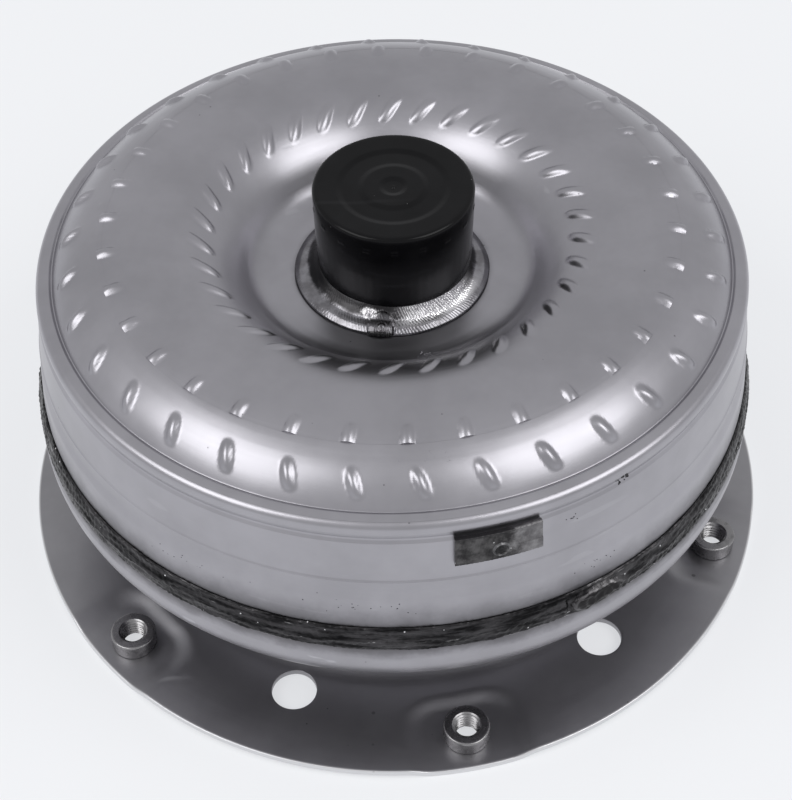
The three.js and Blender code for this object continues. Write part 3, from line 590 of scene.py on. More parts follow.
def weight_finish():
    """The balance weight: scorched at one end, rubbed brighter at the other."""
    finish = Finish("weight_steel", Metallic=1.0)
    blotch = finish.noise(170.0, 5.0, 0.65)
    tone = finish.map(blotch, 0.35, 0.7)
    dark = finish.mix(tone, (0.028, 0.027, 0.028), (0.11, 0.107, 0.108))
    light = finish.mix(tone, (0.13, 0.125, 0.13), (0.27, 0.265, 0.27))
    place = finish.uneven(finish.angle, blotch, 0.09)
    rubbed = finish.map(place, math.radians(-75.0), math.radians(-71.0))
    finish.base = finish.mix(rubbed, dark, light)
    up = finish.uneven(finish.height, blotch, 2 * MM)
    top = finish.map(up, (WEIGHT.top - 0.7) * MM, (WEIGHT.top - 0.2) * MM)
    left = finish.minus(0.9, finish.times(rubbed, 0.6))
    finish.tint(finish.times(top, left), (0.05, 0.049, 0.051))
    away = finish.away_from(SPOT_DEG, WEIGHT_FACE_R, finish.height, SPOT_Z)
    finish.tint(finish.map(away, 2.1 * MM, 1.7 * MM), (0.03, 0.03, 0.031), 0.75)
    lip = finish.map(finish.gap(away, 2.6 * MM), 0.6 * MM, 0.2 * MM)
    finish.tint(lip, (0.3, 0.3, 0.31), 0.35)
    finish.tint(finish.specks(700.0, 0.25, 0.05), (0.7, 0.7, 0.7), 0.8)
    finish.rough = finish.map(blotch, 0.3, 0.7, 0.40, 0.27)
    finish.bump(finish.noise(900.0, 4.0, 0.7), 0.06 * MM, 0.7)
    finish.bump(blotch, 0.25 * MM, 0.6)
    return close_finish(finish)


def bead_finish():
    """Clean weld metal outside, with painted shade in the groove next to the hub and a painted
    highlight on one side.
    """
    finish = Finish("hub_bead", Metallic=1.0)
    blotch = finish.noise(130.0, 5.0, 0.65)
    fine = finish.noise(600.0, 4.0, 0.65)
    dark, light = (0.17, 0.165, 0.175), (0.31, 0.305, 0.325)
    finish.base = finish.mix(finish.map(blotch, 0.36, 0.70), dark, light)
    # A painted highlight: the inner half of the bead is lightened on the side where its ripples catch
    # the right-hand light.
    bright = finish.map(finish.gap(finish.angle, math.radians(BRIGHT_DEG)), 0.75, 0.25)
    inside = finish.map(finish.radius, 34.5 * MM, 32.5 * MM)
    finish.tint(finish.times(bright, inside), SPATTER_AND_HIGHLIGHT, 0.9)
    # Painted shade: the groove next to the hub, where the cap shades it and shows dark in it, is
    # darkened nearly to black, less under the painted highlight.
    groove = finish.map(finish.uneven(finish.radius, blotch, 5 * MM), 31.8 * MM, 30.0 * MM)
    unlit = finish.minus(1.0, finish.times(bright, 0.75))
    finish.tint(finish.times(groove, unlit), CAP_SHADE, 0.93)
    patch = finish.away_from(PATCH_DEG, 31.0, finish.radius, 29.6, math.sqrt(5))
    patch = finish.plus(patch, finish.times(fine, 6 * MM))
    finish.tint(finish.map(patch, 7.2 * MM, 5.0 * MM), SPATTER_AND_HIGHLIGHT, 0.75)
    crater = finish.away_from(CRATER_DEG, 34.0, finish.radius, 34.2)
    crater = finish.plus(crater, finish.times(fine, 2 * MM))
    finish.tint(finish.map(crater, 6.2 * MM, 4.8 * MM), (0.085, 0.083, 0.088), 0.75)
    finish.tint(finish.map(finish.radius, 35.7 * MM, 36.1 * MM), (0.02, 0.02, 0.02), 0.9)
    finish.rough = finish.map(fine, 0.3, 0.7, 0.26, 0.14)
    finish.bump(finish.noise(1500.0, 3.0, 0.6), 0.05 * MM, 0.6)
    finish.bump(fine, 0.08 * MM, 0.5)
    return close_finish(finish)


def ground_finish():
    """Ground steel, with painted shade near the weld, where the hub shows in the gap between the cap
    and the bead.
    """
    finish = satin_steel("ground_hub", (0.62, 0.62, 0.635), 0.2, 0.012)
    # Painted shade: next to the weld, in the gap between the cap and the bead, the hub is darkened
    # nearly to black.
    up = finish.ragged(finish.height, 4 * MM, 120.0)
    gap_shade = finish.map(up, 127.5 * MM, 124.5 * MM)
    finish.tint(gap_shade, (0.015, 0.0145, 0.015), 0.97)
    finish.rough = finish.plus(finish.rough, finish.times(gap_shade, 0.15))
    return close_finish(finish)


def cap_finish():
    """Glossy black moulded plastic with faint flow marks and scuffs."""
    finish = Finish("cap_plastic", Metallic=0.0, IOR=1.42, Specular_IOR_Level=0.22)
    flow = finish.noise(70.0, 4.0, 0.6)
    scuffs = finish.streaks(110.0, (0.05, 1.0, 1.0), 0.66, 0.74, (0, 0, 0.9))
    dark, light = (0.0022, 0.0022, 0.0026), (0.0036, 0.0036, 0.0042)
    finish.base = finish.mix(finish.map(flow, 0.3, 0.7), dark, light)
    finish.tint(scuffs, (0.05, 0.05, 0.055), 0.10)
    finish.tint(finish.specks(520.0, 0.12, 0.012), (0.25, 0.25, 0.25), 0.5)
    rings = finish.noise(160.0, 2.0, 0.5, finish.vector(finish.radius, 0.0, finish.height))
    rings = finish.times(finish.map(rings, 0.35, 0.65), 0.05)
    finish.rough = finish.plus(rings, finish.map(flow, 0.3, 0.7, 0.13, 0.2))
    finish.bump(finish.noise(1800.0, 3.0, 0.6), 0.006 * MM, 0.4)
    return close_finish(finish)


def sheet_finish(name, tint, roughness):
    finish = satin_steel(name, tint, roughness)
    scratched(finish, 0.4)
    return close_finish(finish)


def lining_finish():
    """Paper friction lining: felted fibres, with darker resin spots."""
    finish = Finish("lining_paper", Metallic=0.0)
    fibres = finish.noise(900.0, 5.0, 0.75, finish.stretched((1.0, 0.35, 1.0)))
    spots = finish.specks(500.0, 0.3, 0.2)
    finish.base = finish.mix(finish.map(fibres, 0.3, 0.7), (0.10, 0.068, 0.035), (0.24, 0.17, 0.10))
    finish.tint(spots, (0.05, 0.035, 0.02), 0.6)
    finish.rough = finish.map(fibres, 0.3, 0.7, 0.75, 0.95)
    finish.bump(fibres, 0.08 * MM, 0.8)
    return close_finish(finish)


def cast_finish():
    """Die-cast aluminium with a fine skin."""
    finish = Finish("stator_aluminium", Metallic=1.0)
    skin = finish.noise(700.0, 5.0, 0.7)
    cloud = finish.noise(35.0, 3.0, 0.6)
    finish.base = finish.mix(finish.map(cloud, 0.3, 0.7), (0.60, 0.60, 0.61), (0.74, 0.74, 0.75))
    finish.rough = finish.map(skin, 0.3, 0.7, 0.38, 0.55)
    finish.bump(skin, 0.06 * MM, 0.7)
    return close_finish(finish)


def seal_finish():
    """Filled thermoplastic, matt and slightly mottled."""
    finish = Finish("seal_plastic", Metallic=0.0)
    mottle = finish.noise(500.0, 4.0, 0.7)
    finish.base = finish.mix(finish.map(mottle, 0.3, 0.7), (0.055, 0.05, 0.042), (0.11, 0.10, 0.085))
    finish.rough = finish.map(mottle, 0.3, 0.7, 0.42, 0.6)
    finish.bump(mottle, 0.03 * MM, 0.6)
    return close_finish(finish)


FINISHES = {
    "drive_plate": plate_finish(),
    "boss_steel": boss_finish(),
    "burnt_weld": burnt_finish(),
    "cover_steel": cover_finish(),
    "shell_steel": shell_finish(),
    "hub_weld": bead_finish(),
    "balance_weight": weight_finish(),
    "ground_hub": ground_finish(),
    "cap_plastic": cap_finish(),
    "blade_steel": sheet_finish("blade_steel", (0.44, 0.44, 0.46), 0.38),
    "forged_steel": sheet_finish("forged_steel", (0.36, 0.355, 0.375), 0.42),
    "spring_steel": sheet_finish("spring_steel", (0.22, 0.22, 0.25), 0.33),
    "lining_paper": lining_finish(),
    "stator_aluminium": cast_finish(),
    "seal_plastic": seal_finish(),
}


# ---------------------------------------------------------------- impeller shell

DIMPLES = 34

Dimples = namedtuple("Dimples", "radius length width height first_deg lean_deg")
DIMPLE_RINGS = [
    Dimples(69.4, 11.6, 5.5, 1.15, -174.9, 31.0),
    Dimples(103.5, 10.0, 5.0, 1.35, -172.5, 3.0),
    Dimples(117.8, 10.6, 4.8, 1.50, -170.8, -17.0),
]


def dimple_relief(outline):
    """The height of the pressed ribs over the shell, with lengths taken along its outline."""
    travelled = np.concatenate([[0], np.cumsum(np.linalg.norm(np.diff(outline, axis=0), axis=1))])
    crest = int(np.argmax(outline[:, 0] > SHELL.outer - 9))

    def relief(radius, height, angle):
        total = np.zeros(np.broadcast(radius, angle).shape)
        for rib in DIMPLE_RINGS:
            start = np.interp(rib.radius, outline[:crest, 0], travelled[:crest])
            along = travelled[:, None] - start
            lean = math.tan(math.radians(rib.lean_deg))
            across = turned(angle, rib.first_deg, DIMPLES) * rib.radius + along * lean
            lengthways = np.abs(along / (rib.length / 2)) ** 2.7
            sideways = np.abs(across / (rib.width / 2)) ** 2.7
            distance = (lengthways + sideways) ** (1 / 2.7)
            total += rib.height * np.clip(1 - distance**2, 0, None)
        return total

    return relief


def eased_steps(outline):
    """The outline with fewer points where no rib stands and the surface is nearly flat."""
    kept = [outline[0]]
    for k in range(1, len(outline) - 1):
        near_rib = any(abs(outline[k, 0] - rib.radius) < rib.length / 2 + 1 for rib in DIMPLE_RINGS)
        before, after = outline[k] - outline[k - 1], outline[k + 1] - outline[k]
        bend = abs(math.atan2(before[0] * after[1] - before[1] * after[0], before @ after))
        if near_rib or bend > math.radians(5) or np.linalg.norm(outline[k] - kept[-1]) > 2.4:
            kept.append(outline[k])
    return np.array([*kept, outline[-1]])


VALLEY_Z = 115.0
RIDGE_Z = 115.8
SHEET_T = 3.2
SKIRT_R = 134.6


def shell_top():
    """The outside of the shell from the eye out to the bead at the edge."""
    crown = SHELL.top
    valley = VALLEY_Z
    corners = [
        (SHELL.inner, valley, 0),
        (50.5, valley, 9.5),
        (65.53, crown, 40.0),
        (99.0, crown, 54),
        (116.12, crown - 4.75, 38),
        (124.25, crown - 14.65, 0.4),
        (125.35, crown - 13.75, 0.7),
        (128.2, crown - 14.5, 0),
    ]
    return rounded(corners, 0.8, closed=False)


def shell_wall():
    """The outside of the shell from the bead at the edge down to the end of the skirt."""
    crown = SHELL.top
    corners = [
        (128.2, crown - 14.5, 0),
        (130.35, crown - 14.75, 3.0),
        (130.35, 120.0, 4.0),
        (129.65, 117.4, 1.4),
        (130.6, RIDGE_Z, 0.5),
        (132.45, 99.0, 0.3),
        (132.85, 98.3, 0.3),
        (132.2, 97.3, 0.4),
        (132.25, 92.4, 5),
        (133.7, 88.6, 6),
        (SKIRT_R, 78.0, 8),
        (SKIRT_R, SHELL.bottom, 0.5),
        (SKIRT_R - SHEET_T, SHELL.bottom, 0),
    ]
    return rounded(corners, 4.0, closed=False)


def shell_outline():
    """The shell's closed outline, from the eye over the outside to the skirt and back inside."""
    crown = SHELL.top
    inside = [
        (SKIRT_R - SHEET_T, SHELL.bottom, 0.5),
        (SKIRT_R - SHEET_T, 78, 8),
        (126.9, 119.0, 4),
        (120.6, 122.6, 10),
        (114.0, 130.6, 34),
        (98.6, crown - SHEET_T, 48),
        (67.3, crown - SHEET_T, 37),
        (52.2, VALLEY_Z - SHEET_T, 12.5),
        (SHELL.inner, VALLEY_Z - SHEET_T, 0),
    ]
    hidden = rounded(inside, 9.0, closed=False)
    return np.vstack([eased_steps(shell_top()), shell_wall()[1:], hidden[1:]])


def make_shell():
    # The points run outwards over the top and back inside, so the material is on the right
    # hand; the outline is reversed to put it on the left.
    outline = shell_outline()
    relief = dimple_relief(outline)

    def flipped(radius, height, angle):
        return relief(radius[::-1], height[::-1], angle)[::-1]

    points, faces = lathe(outline[::-1], DIMPLES * 26, flipped)
    piece("impeller_shell_pressing", points, faces, "shell_steel", "housing", ["impeller_shell"])


# Each patch of spatter: azimuth, radius or height, spread, count, smallest and largest drop.
Spatter = namedtuple("Spatter", "azimuth_deg at spread count small large")
WALL_SPATTER = [
    Spatter(-54.3, 117.9, 2.6, 15, 0.22, 0.5),
    Spatter(-64.0, 112.0, 5.0, 8, 0.14, 0.26),
    Spatter(-59.5, 85.5, 9.0, 12, 0.12, 0.24),
    Spatter(-95.0, 85.5, 24.0, 18, 0.10, 0.24),
    Spatter(-120.0, 85.5, 18.0, 12, 0.10, 0.24),
]
TOP_SPATTER = [
    Spatter(-84.0, 111.0, 9.0, 14, 0.10, 0.22),
    Spatter(-40.0, 62.0, 4.0, 7, 0.12, 0.25),
    Spatter(-75.0, 46.0, 4.0, 10, 0.12, 0.28),
]


def drop(size, flattened):
    """A small closed drop of metal, squashed along one axis."""
    tilt = np.linspace(-math.pi / 2, math.pi / 2, 7)
    outline = np.stack([np.cos(tilt), np.sin(tilt)], axis=1) * size
    outline[[0, -1], 0] = 0
    points, groups = lathe(outline, 10)
    return points * flattened, groups


def joined(parts):
    """Several closed meshes as the points and faces of one."""
    points, quads, fans = [], [], []
    first = 0
    for part_points, (grid, low_fan, high_fan) in parts:
        points.append(part_points)
        quads.append(grid + first)
        fans += [low_fan + first, high_fan + first]
        first += len(part_points)
    return np.vstack(points), [np.vstack(quads), np.vstack(fans)]


def make_spatter():
    """Drops of weld metal that stuck to the outside of the shell."""
    rng = np.random.default_rng(77)
    wall = shell_wall()[::-1]
    top = shell_top()
    dark, light = [], []
    for patch in WALL_SPATTER:
        for _ in range(patch.count):
            across, up = rng.normal(0, 0.5, 2) * patch.spread
            size = rng.uniform(patch.small, patch.large)
            height = patch.at + up * min(1, 3 / patch.spread)
            radius = np.interp(height, wall[:, 1], wall[:, 0])
            points, groups = drop(size, [0.55, 1, rng.uniform(0.8, 1.4)])
            azimuth = patch.azimuth_deg + math.degrees(across / radius)
            dark.append((moved(points, radius, azimuth, height), groups))
    for patch in TOP_SPATTER:
        for _ in range(patch.count):
            across, out = rng.normal(0, 0.5, 2) * patch.spread
            size = rng.uniform(patch.small, patch.large)
            radius = patch.at + out * 0.3
            height = np.interp(radius, top[:, 0], top[:, 1])
            points, groups = drop(size, [1, rng.uniform(0.8, 1.3), 0.6])
            azimuth = patch.azimuth_deg + math.degrees(across / radius)
            light.append((moved(points, radius, azimuth, height), groups))
    made = [("wall_spatter", dark, "burnt_weld"), ("top_spatter", light, "shell_steel")]
    for name, drops, finish in made:
        points, groups = joined(drops)
        piece(name, points, groups, finish, "housing")


# ---------------------------------------------------------------- front cover and pilot


def make_cover():
    face = 39.0
    sheet = 3.8
    rim_step = 134.9
    well = COVER.bottom
    corners = [
        (COVER.inner, well, 0.6),
        (34, well, 3),
        (37, well + 0.9, 3),
        (49, well + 0.9, 3),
        (52, well, 3),
        (86, well, 7),
        (97, face, 6),
        (COVER.outer, face, 20),
        (COVER.outer, 61.5, 1),
        (COVER.outer - 0.25, 62.3, 1),
        (COVER.outer - 0.2, COVER.top, 0.6),
        (rim_step, COVER.top, 0),
        (rim_step, 61.2, 0),
        (COVER.outer - sheet, 61.2, 0.4),
        (COVER.outer - sheet, face + sheet, 16.2),
        (94.8, face + sheet, 6),
        (83.8, well + sheet, 6),
        (52, well + sheet, 3),
        (49, well + sheet + 0.9, 3),
        (37, well + sheet + 0.9, 3),
        (34, well + sheet, 3),
        (COVER.inner, well + sheet, 0.6),
    ]
    points, faces = lathe(rounded(corners, 2.4), 480)
    piece("front_cover_pressing", points, faces, "cover_steel", "housing", ["front_cover"])


def make_spigot():
    flange = SPIGOT.top - 2.2
    radius = SPIGOT.outer - 4
    outline = [
        (0, SPIGOT.bottom + 4.2, 0),
        (1.5, SPIGOT.bottom + 3.4, 0.2),
        (4.2, SPIGOT.bottom + 0.6, 0.3),
        (9.0, SPIGOT.bottom + 0.6, 0.2),
        (9.6, SPIGOT.bottom, 0.3),
        (radius - 1.4, SPIGOT.bottom, 0.4),
        (radius, SPIGOT.bottom + 1.4, 0.4),
        (radius, SPIGOT.bottom + 9.6, 0.15),
        (radius - 0.5, SPIGOT.bottom + 10.1, 0.15),
        (radius - 0.5, SPIGOT.bottom + 12.1, 0.15),
        (radius, SPIGOT.bottom + 12.6, 0.15),
        (radius, flange, 0.2),
        (SPIGOT.outer, flange, 0.5),
        (SPIGOT.outer, SPIGOT.top, 0.5),
        (12, SPIGOT.top, 0.5),
        (10.5, SPIGOT.top - 8.2, 1.5),
        (0, SPIGOT.top - 8.2, 0),
    ]
    points, faces = lathe(rounded(outline, 1.2, closed=False), 192)
    piece("pilot_spigot_turned", points, faces, "forged_steel", "housing", ["pilot_spigot"])


# ---------------------------------------------------------------- drive plate

PLATE_BEVEL = 0.35
CIRCLE_STEPS = 72
PAD_HALF_DEG = 6.4
PAD_SIDE_FADE = 10.0
PAD_INNER_R = 123.2
PAD_INNER_FADE = 8.0
PAD_CORNER_R = 8.0

PLATE_PROFILE = rounded(
    [
        (PLATE.inner, WEB_TOP, 0),
        (87.5, WEB_TOP, 9),
        (107.5, PLATE_TOP, 14),
        (PLATE.outer, PLATE_TOP, 0),
    ],
    1.0,
    closed=False,
)


def plate_top(x, y):
    """Height of the drive plate's upper face."""
    radius = np.hypot(x, y)
    off = np.abs(turned(np.arctan2(y, x), BOSS_AZIMUTHS[0], len(BOSSES)))
    inside = PAD_INNER_R + PAD_CORNER_R - radius
    beside = off * radius - (math.radians(PAD_HALF_DEG) * BOLT_CIRCLE_R - PAD_CORNER_R)
    u, v = np.clip(inside, 0, None), np.clip(beside, 0, None)
    outside = np.clip(np.hypot(u, v) - PAD_CORNER_R, 0, None)
    share = u**2 / (u**2 + v**2 + 1e-9)
    fade = PAD_SIDE_FADE + (PAD_INNER_FADE - PAD_SIDE_FADE) * share
    drop = PAD_DROP * (1 - smooth_step(outside / fade))
    return np.interp(radius, PLATE_PROFILE[:, 0], PLATE_PROFILE[:, 1]) - drop


def circle(radius, steps, centre=(0.0, 0.0)):
    angle = np.arange(steps) * TAU / steps
    return np.stack([centre[0] + radius * np.cos(angle), centre[1] + radius * np.sin(angle)], 1)


def plate_holes():
    """(centre, radius) of each round hole in the plate."""
    holes = []
    for azimuth_deg in BOSS_AZIMUTHS:
        bolt = math.radians(azimuth_deg)
        window = math.radians(azimuth_deg + 180 / len(BOSSES))
        holes.append(((BOLT_CIRCLE_R * math.cos(bolt), BOLT_CIRCLE_R * math.sin(bolt)), 6.5))
        centre = (WINDOW_CIRCLE_R * math.cos(window), WINDOW_CIRCLE_R * math.sin(window))
        holes.append((centre, WINDOW_R))
    return holes


def plate_grid():
    """Points all over the plate's face, closer together where it bends."""
    radii = np.concatenate(
        [
            np.arange(PLATE.inner + 3, 80, 3.0),
            np.arange(80, 127, 1.0),
            np.arange(127, PLATE.outer - 2, 1.8),
            [PLATE.outer - 1.3],
        ]
    )
    angle = np.arange(432) * TAU / 432
    grid = [np.stack([r * np.cos(angle), r * np.sin(angle)], 1) for r in radii]
    return np.vstack(grid)


def make_plate():
    outer = PLATE.outer - PLATE_BEVEL
    edges = [circle(outer, 432), circle(PLATE.inner + PLATE_BEVEL, 180)]
    holes = plate_holes()
    field = plate_grid()
    for centre, radius in holes:
        away = np.hypot(field[:, 0] - centre[0], field[:, 1] - centre[1])
        field = field[away > radius + 2.2]
    collars = []
    for centre, radius in holes:
        edges.append(circle(radius + PLATE_BEVEL, CIRCLE_STEPS, centre))
        collars.append(circle(radius + PLATE_BEVEL + 0.9, CIRCLE_STEPS, centre))
    flat = np.vstack([*edges, *collars, field])
    loops = []
    first = 0
    for edge in edges:
        indices = np.arange(first, first + len(edge))
        loops.append(indices)
        first += len(edge)
    constraints = [pair for loop in loops for pair in zip(loop.tolist(), np.roll(loop, -1).tolist())]
    corners = [Vector(p) for p in flat.tolist()]
    made, _, triangles, sources, _, _ = delaunay_2d_cdt(corners, constraints, [], 0, 1e-5)
    plane = np.array([tuple(p) for p in made])
    triangles = np.array(triangles)
    middle = plane[triangles].mean(axis=1)
    keep = np.hypot(middle[:, 0], middle[:, 1]) > PLATE.inner + PLATE_BEVEL * 0.5
    for centre, radius in holes:
        away = np.hypot(middle[:, 0] - centre[0], middle[:, 1] - centre[1])
        keep &= away > radius + PLATE_BEVEL * 0.5
    triangles = triangles[keep]
    place_of = np.zeros(len(flat), int)
    for index, source in enumerate(sources):
        place_of[list(source)] = index

    height = plate_top(plane[:, 0], plane[:, 1])
    top = np.column_stack([plane, height])
    bottom = np.column_stack([plane, height - PLATE_T])
    points = [top, bottom]
    faces = [triangles, triangles[:, ::-1] + len(top)]
    first = 2 * len(top)
    centres = [((0, 0), 1), ((0, 0), -1)] + [(centre, -1) for centre, _ in holes]
    for loop, (centre, side) in zip(loops, centres):
        rim = place_of[loop]
        ring_top = plane[rim]
        away = (ring_top - centre) / np.linalg.norm(ring_top - centre, axis=1, keepdims=True) * side
        level = height[rim]
        rows = []
        for k in (1, 2, 3):
            turn = k * math.pi / 6
            out = PLATE_BEVEL * math.sin(turn)
            down = PLATE_BEVEL * (1 - math.cos(turn))
            rows.append(np.column_stack([ring_top + away * out, level - down]))
        rows += [np.column_stack([row[:, :2], 2 * level - PLATE_T - row[:, 2]]) for row in rows[::-1]]
        points += rows
        count = len(rim)
        chain = [rim, *(first + np.arange(count) + k * count for k in range(6)), rim + len(top)]
        first += 6 * count
        for upper, lower in zip(chain, chain[1:]):
            quad = [upper, lower, np.roll(lower, -1), np.roll(upper, -1)]
            quad = quad if side > 0 else quad[::-1]
            faces.append(np.stack(quad, axis=1))
    mesh_points = np.vstack(points)
    used = np.unique(np.concatenate([group.ravel() for group in faces]))
    renumber = np.full(len(mesh_points), -1)
    renumber[used] = np.arange(len(used))
    faces = [renumber[group] for group in faces]
    triangles = np.vstack([group for group in faces if group.shape[1] == 3])
    quads = np.vstack([group for group in faces if group.shape[1] == 4])
    groups = [triangles, quads]
    piece("drive_plate_pressing", mesh_points[used], groups, "drive_plate", "housing", ["drive_plate"])


# ---------------------------------------------------------------- drive bosses

THREAD_PITCH = 1.5
THREAD_MINOR_R = 4.15
THREAD_DEPTH = 1.0
MOUTH_R = 5.25


def make_bosses():
    box = ring(BOSSES[0])
    low, high = box.bottom, box.top
    columns = 72
    seat = PAD_TOP + 0.05
    outer = 8.6
    outside = rounded(
        [
            (MOUTH_R, low, 0),
            (6.2, low, 0.3),
            (6.2, seat, 0.2),
            (outer, seat, 0.4),
            (outer, high, 0.75),
            (MOUTH_R + 0.2, high, 0.2),
            (MOUTH_R, high - 0.15, 0),
        ],
        0.5,
        closed=False,
    )
    depth = np.arange(high - 0.3, low + 0.1, -THREAD_PITCH / 12)
    angle = np.arange(columns) * TAU / columns
    phase = depth[:, None] / THREAD_PITCH - angle[None, :] / TAU
    wave = np.abs(2 * (phase % 1) - 1)
    groove = np.clip(wave * 1.12 - 0.06, 0, 1)
    from_end = np.minimum(high - depth, depth - low)
    mouth = MOUTH_R - from_end
    thread = np.maximum(THREAD_MINOR_R + THREAD_DEPTH * groove, mouth[:, None])
    radius = np.vstack([np.repeat(outside[:, :1], columns, 1), thread])
    height = np.vstack([np.repeat(outside[:, 1:], columns, 1), np.repeat(depth[:, None], columns, 1)])
    rows = len(radius)
    local = np.stack([radius * np.cos(angle), radius * np.sin(angle), height], -1).reshape(-1, 3)
    faces = grid_faces(rows, columns, True, True)
    for name, azimuth_deg in zip(BOSSES, BOSS_AZIMUTHS):
        points = moved(local, BOLT_CIRCLE_R, azimuth_deg)
        piece(f"{name}_threaded", points, [faces], "boss_steel", "housing", [name], 50)


# ---------------------------------------------------------------- welds

def seam_relief(radius, height, angle):
    """Streaky scale and small ripples, and one thick overlap where the bead was closed."""
    streaks = waves(11, angle, height, 22, (8, 90), (1.3, 4.5)) * 0.13
    rough = waves(13, angle, height, 26, (120, 560), (1.5, 6)) * 0.07
    lumps = waves(12, angle, height, 12, (8, 60), (5, 14)) * 0.14
    ripples = 0.06 * np.cos(angle * 300 + np.abs(height - SEAM.bottom - 4) * 1.1)
    off = np.degrees(turned(angle, BLOB_DEG)) / BLOB_HALF_DEG
    up = height - (SEAM.bottom + BLOB_UP) - off * 0.6
    up = up / (BLOB_HALF_UP - 1.6 * np.clip(off, 0, 1))
    reach = np.hypot(np.clip(off, 0, None), up) ** 2 + (np.clip(-off, 0, None)) ** 8
    blob = 1.9 * np.clip(1 - reach, 0, None) ** 0.35
    crevice = 0.9 * bell((off + 1.1) / 0.14) * bell(up / 1.5)
    pool = 0.16 * np.cos(np.hypot(off * 10, up * BLOB_HALF_UP) * 2.0) * (blob > 0)
    return np.clip(streaks + rough + lumps + ripples, -0.5, 0.55) + blob + pool - crevice


def make_seam_weld():
    toe = SEAM.inner
    corners = [
        (toe, SEAM.bottom - 0.25, 0),
        (SEAM.outer, SEAM.bottom - 0.25, 0.6),
        (SEAM.outer - 0.3, SEAM.bottom + 4.0, 2),
        (toe + 0.6, SEAM.top - 0.6, 0.8),
        (toe, SEAM.top, 0),
    ]
    outline = rounded(corners, 0.6)

    def relief(radius, height, angle):
        inside = radius < toe + 0.02
        return np.where(inside, 0, seam_relief(radius, height, angle))

    points, faces = lathe(outline, 1800, relief)
    piece("seam_weld_bead", points, faces, "burnt_weld", "housing", ["seam_weld"], 60)


BEAD_CREST_R = 32.2


def hub_bead_relief(radius, height, angle):
    """Fine chevron ripples, with a crater and a lap where the bead ends."""
    across = radius - BEAD_CREST_R
    bright_side = bell(turned(angle, BRIGHT_DEG) / math.radians(46))
    inner_half = smooth_step((BEAD_CREST_R + 1.4 - radius) / 2.4)
    strength = 0.02 + 0.22 * bright_side * inner_half + 0.06 * bright_side
    phase = angle * 95 - across * 1.5 + 0.5 * np.cos(angle * 37)
    ripples = strength * (np.abs(np.cos(phase)) * 2 - 1)
    grain = waves(21, angle, radius, 22, (60, 420), (1.2, 5))
    grain = grain * (0.015 + 0.09 * bright_side * inner_half)
    swell = waves(22, angle, radius, 8, (3, 14), (9, 20)) * 0.10
    off = turned(angle, CRATER_DEG) * 34
    away = np.hypot(off / 5.4, (radius - 33.4) / 4.8)
    lump = 1.05 * np.sqrt(np.clip(1 - away**2, 0, None))
    pool_r = np.hypot(off, radius - 34.6)
    pool = 0.24 * np.cos(pool_r * TAU / 1.3) * bell(pool_r / 3.4) - 0.35 * bell(pool_r / 0.7)
    lap = 0.55 * bell(turned(angle, LAP_DEG) * 34 / 0.45) * smooth_step((radius - 32.4) / 1.2)
    patch = np.hypot(turned(angle, PATCH_DEG) * 30 / 4.4, (radius - 29.6) / 1.8)
    spatter = bell(patch) * (0.5 + 0.3 * waves(23, angle, radius, 16, (200, 700), (0.8, 2.4)))
    return ripples + grain + swell + lump + pool - lap + spatter


def make_hub_weld():
    low = HUB_BEAD.bottom - 0.25
    corners = [
        (26.4, low + 0.4, 0),
        (32.2, low, 0),
        (HUB_BEAD.outer, low, 0.2),
        (HUB_BEAD.outer - 0.3, low + 1.0, 0.8),
        (34.0, low + 2.4, 2.4),
        (31.2, low + 3.1, 3.0),
        (28.8, low + 5.2, 3.0),
        (27.2, low + 7.0, 0.6),
        (26.4, low + 6.8, 0.3),
    ]
    outline = rounded(corners, 0.5)

    def relief(radius, height, angle):
        under = (height < low + 0.35) | (radius < 27.0)
        return np.where(under, 0, hub_bead_relief(radius, height, angle))

    points, faces = lathe(outline, 1260, relief)
    piece("hub_weld_bead", points, faces, "hub_weld", "housing", ["hub_weld"], 60)


def make_plate_weld():
    box = ring("drive_plate_weld")

    def relief(radius, height, angle):
        ripples = 0.12 * np.cos(angle * 220 + (radius - box.inner) * 1.5)
        lumps = waves(31, angle, radius, 12, (10, 90), (4, 12)) * 0.1
        return np.where(height < box.top - 0.1, ripples + lumps, 0)

    corners = [
        (box.inner, box.top, 0),
        (box.inner + 0.8, box.bottom + 0.9, 0.8),
        (box.outer, box.bottom, 0.3),
        (box.outer, box.top, 0),
    ]
    points, faces = lathe(rounded(corners, 0.5), 900, relief)
    piece("drive_plate_bead", points, faces, "burnt_weld", "housing", ["drive_plate_weld"], 60)


# ---------------------------------------------------------------- balance weight


def make_weight():
    half = 6.5
    middle = -75.4
    low, high = WEIGHT.bottom, WEIGHT.top
    top_r, low_r = WEIGHT.outer - 1.3, WEIGHT.outer
    sheet = 1.9
    corners = [
        (low_r - sheet, low, 0.2),
        (low_r, low, 0.35),
        (top_r, high, 0.35),
        (top_r - sheet, high, 0.2),
    ]
    outline = rounded(corners, 0.25)

    def relief(radius, height, angle):
        face = smooth_step((radius - (top_r - sheet) - 0.9) / 0.8)
        away = np.hypot(turned(angle, SPOT_DEG) * WEIGHT_FACE_R, height - SPOT_Z)
        crater = 0.65 * bell((away - 2.4) / 0.42) - 0.55 * bell(away / 1.4)
        step = 0.3 * smooth_step((turned(angle, middle + 2.1) * WEIGHT_FACE_R - 0.2) / 0.5)
        step = step * smooth_step((height - 110.1) / 0.4)
        rough = waves(41, angle, height, 24, (150, 900), (1.5, 8)) * 0.055
        return (crater - step + rough) * face

    points, faces = partial_lathe(outline, middle - half, middle + half, 150, relief)
    nodes = ["balance_weight"]
    piece("balance_weight_plate", points, faces, "balance_weight", "housing", nodes)


# ---------------------------------------------------------------- hub and cap

CAP_ASIDE = 1.0


